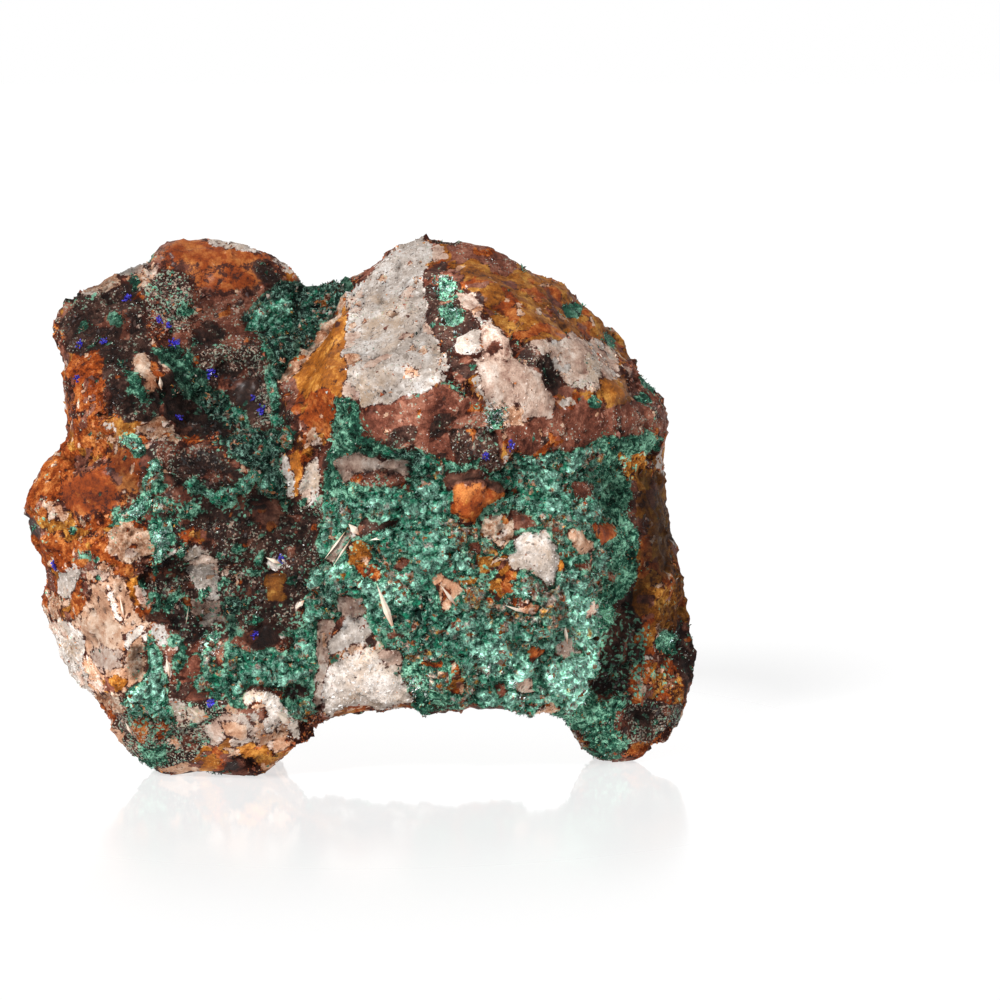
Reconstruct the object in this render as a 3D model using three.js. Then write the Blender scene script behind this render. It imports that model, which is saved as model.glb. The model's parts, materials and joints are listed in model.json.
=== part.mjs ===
// Malachite druse: green malachite crusts grown over a lump of iron-stained quartz.
// Millimetres, +Z up. The front faces -Y, the longest side runs along X, and the lump stands on the
// plane Z = 0 on two long feet, with its origin under the middle of its box.
//
// The lump is worked out as a field: fracture blocks (convex hulls of a few corners) are joined, hollows
// are cut from them, and a fine net is drawn tight onto the result. Each malachite crust is a skin of
// uneven thickness over one patch of that net.

import * as THREE from 'three';
import { ConvexHull } from 'three/addons/math/ConvexHull.js';
import { ImprovedNoise } from 'three/addons/math/ImprovedNoise.js';
import { mergeVertices } from 'three/addons/utils/BufferGeometryUtils.js';

// ---------------------------------------------------------------- driving dimensions

const WIDTH = 100; // of the bare rock, along X
const DEPTH = 54; // along Y
const HEIGHT = 79; // along Z

const NET_DETAIL = 18; // 20 * (NET_DETAIL + 1)^2 triangles in the net
const NET_CENTRE = new THREE.Vector3(0, 0, 38);
const NET_START = new THREE.Vector3(78, 44, 64); // half sizes of the loose net
const TIGHTEN_STEPS = 140;
const SETTLE_STEPS = 6; // the last steps pull straight in, so ridges stay crisp
const NET_SLACK = 0.6; // share of the way that each step takes a point to its neighbours' middle
const NET_GRIP = 0.85; // share of that move that is undone across the surface
const NET_PULL = 0.8; // share of its distance that each step pulls a point in
const NET_PULL_LIMIT = 2; // longest pull of one step
const NET_MERGE = 1e-4; // points of the loose net's unit ball that lie this close are one point
const PROBE = 0.4; // distance over which the field's slope is read

const BLOCK_BLEND = 2; // radius where two fracture blocks grow together
const HOLLOW_BLEND = 2.2; // radius of a hollow's lip
const NODULE_BLEND = 1.6; // radius where a nodule meets the lump
const FOOT_FLAT = 0.9; // what lies lower than this is ground flat

const CRUST_GAP = 0.3; // between a crust and the rock that backs it
const CRUST_RIM = 0.5; // thickness at a crust's edge
const CRUST_THIN = 0.7;
const CRUST_THICK = 2.4;
const GROWTH_ROUNDS = 2; // how far the direction of growth is evened out over the net
const LUMP_WAVELENGTHS = [3.1, 1]; // of the coarse and the fine lumps of a crust
const LUMP_SHARES = [0.75, 0.5]; // of the thickness between thin and thick, about the middle
const PATCH_RIPPLE = 0.14; // how far a crust's edge wanders, as a share of its patch
const PATCH_WAVELENGTH = 5;

// Waviness of the broken faces: wavelength and height of each layer.
const ROUGHNESS = [
  { wavelength: 18, height: 1.6 },
  { wavelength: 9, height: 1.5 },
  { wavelength: 5, height: 1.2 },
];

// Where in the endless noise each kind of unevenness is read, in wavelengths.
const ROUGHNESS_PLACE = new THREE.Vector3(31, 17, 53);
const LUMP_PLACE = new THREE.Vector3(5, 0, 0);
const PATCH_PLACE = new THREE.Vector3(0, 0, 9);

// ---------------------------------------------------------------- fracture blocks and hollows

const BLOCKS = {
  leftLobe: [
    [-44.8, -5, 69], [-44.4, 0, 70.5], [-28, 4, 79], [-20, 6, 79.5], [-10.5, 5, 75.2], [-4, 5, 67],
    [-41, -15, 56], [-30, -24, 50], [-14, -23, 49], [-41, -14, 46], [-8, -14, 46],
    [-39, 14, 64], [-27, 22, 68], [-9, 20, 62], [-40, 18, 46], [-10, 27, 42],
  ],
  leftShoulder: [
    [-47.6, -8, 47.4], [-42, -17, 46], [-33, -22, 48], [-12, -20, 47], [-47, -4, 41], [-49.5, -6, 33],
    [-46, -15, 33], [-34, -23, 34], [-12, -20, 34], [-42, 14, 46], [-46, 12, 34], [-14, 24, 46],
  ],
  leftBody: [
    [-48.6, -4, 36], [-48.2, -8, 30], [-45, -16, 36], [-35, -24, 35], [-20, -22, 37],
    [-6, -18, 35], [-46.8, -5, 19], [-43.5, -12, 12], [-34, -22, 12], [-46.2, 8, 26], [-46, 6, 38],
    [-43, 17, 20], [-42, 20, 42], [-8, 27, 32], [-8, 22, 10], [-38, 15, 11], [-8, -20, 15],
  ],
  leftFoot: [
    [-39.3, -14, 10], [-30, -15, 2], [-29, -15.5, 0], [-13, -15.5, 0], [-9, -17, 3], [-34, -24, 15],
    [-16, -25.5, 13], [-4, -21, 8.5], [-38, -20, 20], [-10, -22, 22], [-27, 16, 0], [-15, 16, 0],
    [-36, 13, 10], [-9, 17, 10],
  ],
  boulder: [
    [-3, -23, 51], [8, -27, 51], [20, -27, 47.5], [32, -22, 48], [45, -9, 49], [50.8, -1, 50.4],
    [-12, -14, 60], [-9, -16, 49], [-11, -8, 66], [-2.4, -8, 67.6], [8, -3, 78.8], [14, 0, 80.5],
    [23.6, 2, 76.6], [34.6, 2, 71.2], [38, 3, 65.5], [44.6, 4, 60.6], [-3, -25, 57], [12, -28.5, 61],
    [30, -20, 66], [-6, 15, 64], [10, 17, 74], [32, 18, 68], [44, 17, 55], [-8, 25, 40], [38, 22, 36],
  ],
  bulge: [
    [-6, -20, 49], [20, -21.5, 47], [38, -14, 48], [-8, -19, 31], [-3, -20, 21], [8, -23, 32],
    [20, -29, 29], [31, -27, 29], [35, -22, 38], [41, -15, 30], [38.5, -15, 22], [36, -13, 14],
    [-12, -20, 9], [0, -20, 11.5], [12, -22, 14.5], [23, -22, 13.5], [31, -17, 11],
    [-12, 22, 11], [30, 18, 10], [-10, 27, 48], [37, 20, 46],
  ],
  flank: [
    [46, -3, 49], [47, 2, 47], [45.4, 4, 36], [51.6, 3, 25], [53.6, 4, 16], [52.4, 4, 10], [50.4, 4, 3.6],
    [41, -5, 44], [46, -4, 30], [47, -5, 15], [43, -8, 9], [45, 15, 40], [47, 16, 13],
    [36, 18, 12], [34, 18, 44],
  ],
  rightFoot: [
    [36, -3, 0], [43, -3, 0], [43, 11, 0], [37, 11, 0], [32, -14, 9], [41, -12, 8], [48, -2, 10],
    [46, 10, 11], [33, 10, 9], [33, -17, 20], [42, -11, 24], [46, 6, 24],
  ],
};

// Stones that stand a little proud of the lump: ellipsoids with a centre and half sizes.
const NODULES = [
  { name: 'quartz block', centre: [0.5, -17, 19], half: [7.4, 8, 7.4], bare: true },
  { name: 'buttress', centre: [-8, -18.5, 47.5], half: [3.8, 5, 8] },
  { name: 'rust nodule', centre: [16.5, -21.5, 42.5], half: [4.6, 4.6, 4.6], bare: true },
  { name: 'pink stone', centre: [1.5, -20.5, 44], half: [6.4, 4.8, 3.8], bare: true },
  { name: 'amber stone', centre: [38.5, -13.5, 35], half: [3.4, 4.4, 3.4], bare: true },
  { name: 'bulging shoulder', centre: [-41.4, -8, 38], half: [8, 10, 8.5] },
  { name: 'lobe brow', centre: [-37, -10, 58], half: [6, 6, 5] },
  { name: 'hollow rim', centre: [-22, -21, 48.5], half: [11, 4.5, 3.4] },
  { name: 'top knob', centre: [-35, -3, 71.5], half: [2.6, 3, 2.2] },
  { name: 'flank knob', centre: [46.6, -2, 26], half: [3.2, 3.4, 4] },
  { name: 'foot stone', centre: [-17, -20.5, 10], half: [6, 4.4, 5.2] },
  { name: 'back boss', centre: [8, 20, 50], half: [17, 8, 15] },
  { name: 'back heel', centre: [-22, 19, 20], half: [12, 8, 12] },
];

// Hollows: ellipsoids with a centre, half sizes and a lean (degrees, the top leaning towards +X).
const HOLLOWS = [
  { name: 'lobe hollow', centre: [-18, -26, 59.5], half: [11.5, 17.5, 9.5], lean: -14 },
  { name: 'lobe step', centre: [-38.5, -2, 81.2], half: [9.5, 26, 9.3], lean: 12 },
  { name: 'valley, upper', centre: [-4.5, -17, 73], half: [4.4, 17.6, 12.5], lean: 20 },
  { name: 'valley, lower', centre: [-11, -28, 59], half: [4.4, 11, 9], lean: 14 },
  { name: 'cleft', centre: [40, -19, 25], half: [3.1, 15, 18], lean: -5 },
  { name: 'cleft foot', centre: [37.5, -21, 15], half: [3.4, 11, 6.5], lean: 0 },
  { name: 'dark recess', centre: [-20, -30, 28.5], half: [12.5, 11, 9], lean: 10 },
  { name: 'under the ledge', centre: [24, -31, 43.5], half: [15, 9, 4], lean: -6 },
  { name: 'under the chin', centre: [-27, -30, 44.5], half: [9, 7.5, 4], lean: 4 },
  { name: 'arch', centre: [15.5, 0, -7], half: [22.5, 60, 18.6], lean: 4 },
  { name: 'back valley', centre: [-10, 31, 60], half: [7, 12, 22], lean: 14 },
  { name: 'back ledge', centre: [24, 31, 24], half: [20, 12, 11], lean: -8 },
  { name: 'back scar', centre: [-34, 28, 44], half: [13, 10, 17], lean: 32 },
];

// Malachite patches: each crust covers the net where it lies inside any of its ellipsoids, and leaves
// the bare nodules showing.
const CRUSTS = {
  malachite_crust_main: [
    { centre: [15, -21, 44], half: [26, 12, 6.5] },
    { centre: [4, -20, 35], half: [14, 12, 16] },
    { centre: [25, -23, 36], half: [16, 14, 16] },
    { centre: [25, -22, 20], half: [13, 13, 12] },
    { centre: [-7, -20, 29], half: [7, 11, 10] },
    { centre: [-13, -24, 20], half: [9, 10, 8] },
    { centre: [-23, -24, 14], half: [10, 10, 7.5] },
  ],
  malachite_crust_valley: [
    { centre: [-11, -7, 70], half: [10.5, 10, 6.5] },
    { centre: [-12, -13, 61], half: [6, 10, 8] },
    { centre: [-16, -16, 51], half: [8, 11, 9] },
    { centre: [-22, -21, 42], half: [8, 8, 5.5] },
  ],
  malachite_crust_vein: [
    { centre: [-34.5, -21, 49], half: [4.5, 8, 4.5] },
    { centre: [-33, -22, 43], half: [4.5, 8, 5.5] },
    { centre: [-36, -21, 37], half: [6, 8, 4.5] },
  ],
};

const LOOKS = {
  matrix_rock: { color: 0x8a5a3c, roughness: 0.85, metalness: 0 },
  malachite_crust_main: { color: 0x2c8f72, roughness: 0.6, metalness: 0 },
  malachite_crust_valley: { color: 0x1f6e5a, roughness: 0.6, metalness: 0 },
  malachite_crust_vein: { color: 0x2f9474, roughness: 0.6, metalness: 0 },
};

// ---------------------------------------------------------------- the field

const noise = new ImprovedNoise();

function unevenness(point, wavelength, place) {
  const { x, y, z } = place;
  return noise.noise(point.x / wavelength + x, point.y / wavelength + y, point.z / wavelength + z);
}

function blockPlanes(corners) {
  const hull = new ConvexHull().setFromPoints(corners.map((corner) => new THREE.Vector3(...corner)));
  return hull.faces.map(({ normal, midpoint }) => {
    return new THREE.Plane().setFromNormalAndCoplanarPoint(normal, midpoint);
  });
}

const blocks = Object.values(BLOCKS).map(blockPlanes);

function blockDistance(planes, point) {
  let distance = -Infinity;
  for (const plane of planes) distance = Math.max(distance, plane.distanceToPoint(point));
  return distance;
}

function ellipsoid({ centre, half, lean = 0, bare = false }) {
  const turn = new THREE.Quaternion();
  turn.setFromAxisAngle(new THREE.Vector3(0, 1, 0), THREE.MathUtils.degToRad(-lean));
  return { centre: new THREE.Vector3(...centre), half: new THREE.Vector3(...half), turn, bare };
}

const nodules = NODULES.map(ellipsoid);
const hollows = HOLLOWS.map(ellipsoid);

const local = new THREE.Vector3();

function ellipsoidDistance({ centre, half, turn }, point) {
  local.copy(point).sub(centre).applyQuaternion(turn);
  const size = Math.min(half.x, half.y, half.z);
  return (local.divide(half).length() - 1) * size;
}

function smoothMin(a, b, radius) {
  const mix = Math.max(radius - Math.abs(a - b), 0) / radius;
  return Math.min(a, b) - (mix * mix * radius) / 4;
}

function smoothMax(a, b, radius) {
  return -smoothMin(-a, -b, radius);
}

function roughness(point) {
  let total = 0;
  for (const { wavelength, height } of ROUGHNESS) {
    total += height * unevenness(point, wavelength, ROUGHNESS_PLACE);
  }
  return total;
}

function field(point) {
  let distance = Infinity;
  for (const planes of blocks) {
    distance = smoothMin(distance, blockDistance(planes, point), BLOCK_BLEND);
  }
  for (const hollow of hollows) {
    distance = smoothMax(distance, -ellipsoidDistance(hollow, point), HOLLOW_BLEND);
  }
  for (const nodule of nodules) {
    distance = smoothMin(distance, ellipsoidDistance(nodule, point), NODULE_BLEND);
  }
  distance += roughness(point);
  return Math.max(distance, -point.z);
}

const probe = new THREE.Vector3();

function fieldSlope(point, here, slope) {
  slope.x = field(probe.set(point.x + PROBE, point.y, point.z)) - here;
  slope.y = field(probe.set(point.x, point.y + PROBE, point.z)) - here;
  slope.z = field(probe.set(point.x, point.y, point.z + PROBE)) - here;
  return slope.normalize();
}

// ---------------------------------------------------------------- the net

function looseNet() {
  let geometry = new THREE.IcosahedronGeometry(1, NET_DETAIL);
  geometry.deleteAttribute('normal');
  geometry.deleteAttribute('uv');
  geometry = mergeVertices(geometry, NET_MERGE);
  geometry.scale(NET_START.x, NET_START.y, NET_START.z);
  geometry.translate(NET_CENTRE.x, NET_CENTRE.y, NET_CENTRE.z);
  return geometry;
}

function readPoints(geometry) {
  const position = geometry.getAttribute('position');
  const readPoint = (_, i) => new THREE.Vector3().fromBufferAttribute(position, i);
  return Array.from({ length: position.count }, readPoint);
}

function readTriangles(geometry) {
  const index = geometry.getIndex();
  const readTriangle = (_, i) => [0, 1, 2].map((corner) => index.getX(3 * i + corner));
  return Array.from({ length: index.count / 3 }, readTriangle);
}

function neighbourLists(triangles, count) {
  const lists = Array.from({ length: count }, () => new Set());
  for (const [a, b, c] of triangles) {
    lists[a].add(b).add(c);
    lists[b].add(c).add(a);
    lists[c].add(a).add(b);
  }
  return lists.map((list) => [...list]);
}

function tighten(points, neighbours) {
  const slope = new THREE.Vector3();
  const drift = new THREE.Vector3();
  for (let step = 0; step < TIGHTEN_STEPS + SETTLE_STEPS; step += 1) {
    const settling = step >= TIGHTEN_STEPS;
    const before = points.map((point) => point.clone());
    points.forEach((point, i) => {
      const here = field(point);
      fieldSlope(point, here, slope);
      if (!settling) {
        drift.set(0, 0, 0);
        for (const j of neighbours[i]) drift.add(before[j]);
        drift.divideScalar(neighbours[i].length).sub(before[i]);
        drift.addScaledVector(slope, -NET_GRIP * drift.dot(slope));
        point.addScaledVector(drift, NET_SLACK);
      }
      const pull = THREE.MathUtils.clamp(here, -NET_PULL_LIMIT, NET_PULL_LIMIT);
      point.addScaledVector(slope, -NET_PULL * pull);
    });
  }
}

function fitToSize(points) {
  const box = new THREE.Box3().setFromPoints(points);
  const size = box.getSize(new THREE.Vector3());
  const middle = box.getCenter(new THREE.Vector3());
  for (const point of points) {
    point.x = ((point.x - middle.x) * WIDTH) / size.x;
    point.y = ((point.y - middle.y) * DEPTH) / size.y;
    point.z = ((point.z - box.min.z) * HEIGHT) / size.z;
    if (point.z < FOOT_FLAT) point.z = 0;
  }
}

// ---------------------------------------------------------------- meshes

function solidGeometry(points, triangles) {
  const geometry = new THREE.BufferGeometry();
  const coordinates = points.flatMap((point) => point.toArray());
  geometry.setAttribute('position', new THREE.Float32BufferAttribute(coordinates, 3));
  geometry.setIndex(triangles.flat());
  geometry.computeVertexNormals();
  return geometry;
}

function namedMesh(name, geometry) {
  const mesh = new THREE.Mesh(geometry, new THREE.MeshStandardMaterial(LOOKS[name]));
  mesh.name = name;
  return mesh;
}

// Depth inside a set of ellipsoids: 1 at a middle, 0 on the rim, negative outside.
function depthInside(ellipsoids, point) {
  let depth = -Infinity;
  for (const { centre, half } of ellipsoids) {
    depth = Math.max(depth, 1 - local.copy(point).sub(centre).divide(half).length());
  }
  return depth;
}

const bareNodules = nodules.filter(({ bare }) => bare);

function isCrusted(patch, point) {
  const ripple = PATCH_RIPPLE * unevenness(point, PATCH_WAVELENGTH, PATCH_PLACE);
  return depthInside(patch, point) + ripple > 0 && depthInside(bareNodules, point) < 0;
}

// The triangles of a patch. Where two parts of it would meet in one point only, the triangles around
// that point join in, so the crust stays one closed skin.
function patchTriangles(triangles, inside) {
  const chosen = new Set(triangles.filter((triangle) => triangle.every((i) => inside[i])));
  for (;;) {
    const rimEdges = openEdges([...chosen]);
    const starts = new Map();
    for (const [a] of rimEdges) starts.set(a, (starts.get(a) ?? 0) + 1);
    const pinched = new Set([...starts].filter(([, uses]) => uses > 1).map(([i]) => i));
    if (pinched.size === 0) return [...chosen];
    for (const triangle of triangles) if (triangle.some((i) => pinched.has(i))) chosen.add(triangle);
  }
}

function openEdges(triangles) {
  const edges = new Map();
  for (const [a, b, c] of triangles) {
    for (const [from, to] of [[a, b], [b, c], [c, a]]) {
      if (!edges.delete(`${to},${from}`)) edges.set(`${from},${to}`, [from, to]);
    }
  }
  return [...edges.values()];
}

function largestPiece(triangles) {
  const groupOf = new Map();
  const find = (i) => {
    while (groupOf.get(i) !== i) i = groupOf.get(i);
    return i;
  };
  for (const i of triangles.flat()) groupOf.set(i, i);
  for (const [a, b, c] of triangles) {
    groupOf.set(find(b), find(a));
    groupOf.set(find(c), find(a));
  }
  const pieces = new Map();
  for (const triangle of triangles) {
    const root = find(triangle[0]);
    pieces.set(root, [...(pieces.get(root) ?? []), triangle]);
  }
  return [...pieces.values()].sort((one, other) => other.length - one.length)[0];
}

// The directions in which a crust grows: the rock's normals, each averaged with its neighbours', so
// that a crust bridges a crease and doesn't grow into its far side.
function growthDirections(geometry, neighbours) {
  const normal = geometry.getAttribute('normal');
  let directions = neighbours.map((_, i) => new THREE.Vector3().fromBufferAttribute(normal, i));
  for (let round = 0; round < GROWTH_ROUNDS; round += 1) {
    const before = directions;
    directions = neighbours.map((list, i) => {
      const sum = before[i].clone();
      for (const j of list) sum.add(before[j]);
      return sum.normalize();
    });
  }
  return directions;
}

function crustGeometry(rock, patch, taken) {
  const { points, directions, triangles, neighbours } = rock;
  const ellipsoids = patch.map(ellipsoid);
  const inside = points.map((point, i) => !taken.has(i) && isCrusted(ellipsoids, point));
  const skin = largestPiece(patchTriangles(triangles, inside));
  const rim = openEdges(skin);
  const onRim = new Set(rim.flat());
  const used = [...new Set(skin.flat())];
  for (const i of used) for (const j of neighbours[i]) taken.add(j);
  const place = new Map(used.map((i, order) => [i, order]));
  const thickness = (i) => {
    if (onRim.has(i)) return CRUST_RIM;
    let lump = 0.5;
    LUMP_WAVELENGTHS.forEach((wavelength, layer) => {
      lump += LUMP_SHARES[layer] * unevenness(points[i], wavelength, LUMP_PLACE);
    });
    return THREE.MathUtils.lerp(CRUST_THIN, CRUST_THICK, THREE.MathUtils.clamp(lump, 0, 1));
  };
  const raised = (i, height) => points[i].clone().addScaledVector(directions[i], height);
  const under = used.map((i) => raised(i, CRUST_GAP));
  const over = used.map((i) => raised(i, CRUST_GAP + thickness(i)));
  const step = used.length;
  const faces = [];
  for (const [a, b, c] of skin.map((triangle) => triangle.map((i) => place.get(i)))) {
    faces.push([a + step, b + step, c + step], [a, c, b]);
  }
  for (const [a, b] of rim.map((edge) => edge.map((i) => place.get(i)))) {
    faces.push([a, b, b + step], [a, b + step, a + step]);
  }
  return solidGeometry([...under, ...over], faces);
}

// ---------------------------------------------------------------- the specimen

function growRock() {
  const net = looseNet();
  const points = readPoints(net);
  const triangles = readTriangles(net);
  const neighbours = neighbourLists(triangles, points.length);
  tighten(points, neighbours);
  fitToSize(points);
  const geometry = solidGeometry(points, triangles);
  const directions = growthDirections(geometry, neighbours);
  return { points, directions, triangles, neighbours, geometry };
}

const specimen = new THREE.Group();
const rock = growRock();
specimen.add(namedMesh('matrix_rock', rock.geometry));
const taken = new Set(); // net points that a crust already covers or borders on
for (const [name, patch] of Object.entries(CRUSTS)) {
  specimen.add(namedMesh(name, crustGeometry(rock, patch, taken)));
}

// The crusts stand out in front, so the whole specimen is centred over its origin last.
const middle = new THREE.Box3().setFromObject(specimen).getCenter(new THREE.Vector3());
specimen.position.set(-middle.x, -middle.y, 0);

export default specimen;
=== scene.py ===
"""Malachite druse on iron-stained quartz: the rock's broken surface, its crystal crusts and small crystals.

Sizes in the property groups are in metres, as Blender shows them. Outlines of the mineral patches and
everything that is worked out on the rock's surface are in millimetres.
"""

import json
import math
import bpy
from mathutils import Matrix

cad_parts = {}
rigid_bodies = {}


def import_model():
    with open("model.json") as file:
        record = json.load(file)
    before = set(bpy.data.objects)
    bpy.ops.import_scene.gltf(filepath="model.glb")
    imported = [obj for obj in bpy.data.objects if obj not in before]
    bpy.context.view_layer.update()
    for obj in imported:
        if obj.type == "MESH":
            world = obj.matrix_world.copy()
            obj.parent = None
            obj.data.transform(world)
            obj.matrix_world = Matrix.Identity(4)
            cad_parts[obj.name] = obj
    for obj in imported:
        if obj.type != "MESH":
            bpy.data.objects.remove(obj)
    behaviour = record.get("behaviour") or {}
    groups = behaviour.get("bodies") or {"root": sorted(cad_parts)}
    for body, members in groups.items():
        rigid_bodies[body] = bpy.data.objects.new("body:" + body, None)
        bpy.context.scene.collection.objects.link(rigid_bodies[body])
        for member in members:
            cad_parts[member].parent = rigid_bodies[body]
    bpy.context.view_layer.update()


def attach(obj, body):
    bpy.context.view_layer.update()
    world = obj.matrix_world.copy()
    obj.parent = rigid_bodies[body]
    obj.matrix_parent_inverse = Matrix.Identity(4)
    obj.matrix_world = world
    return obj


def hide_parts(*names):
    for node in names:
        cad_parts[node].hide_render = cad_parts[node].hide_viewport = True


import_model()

from types import SimpleNamespace

import bpy
import numpy as np
from bpy.props import FloatProperty, FloatVectorProperty, PointerProperty
from mathutils import Vector

bl_info = {
    "name": "Malachite Druse",
    "version": (1, 0, 0),
    "blender": (4, 5, 0),
    "location": "View3D > Sidebar > Druse",
    "description": "Builds a lump of iron-stained quartz crusted with malachite crystals",
    "category": "Object",
}

MM = 0.001

# The most crystals that grow on each crust, and how many bodies of each other kind are strewn.
CRUST_CRYSTALS = {"malachite_crust_main": 11000, "malachite_crust_valley": 4500, "malachite_crust_vein": 2200}
TUFT_CRYSTALS = 12000
SPRAY_CRYSTALS = 2400
CRUMB_COUNT = 12000
GRAIN_COUNT = 9000
GLITTER_COUNT = 5000

# ---- mineral patches
# Outlines in millimetres as the lump is seen from the front: across from its middle, and up from the
# plane that it stands on. A later patch lies over an earlier one. shade darkens or brightens it: partly
# its own tone, partly painted shade where shadow falls and painted light where the lamp reaches too
# little. lift raises or sinks the surface, soft is how far the edge fades, and strength how much of it
# there is. calm is how smoothly it breaks, frost and moss how much pale or green dust lies on it, and
# sand how much brown and pale grain is mixed into a crust.


def patch(mineral, *outline, **more):
    """A mineral's outline, with whatever sets it apart."""
    return dict(more, mineral=mineral, outline=outline)


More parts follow.
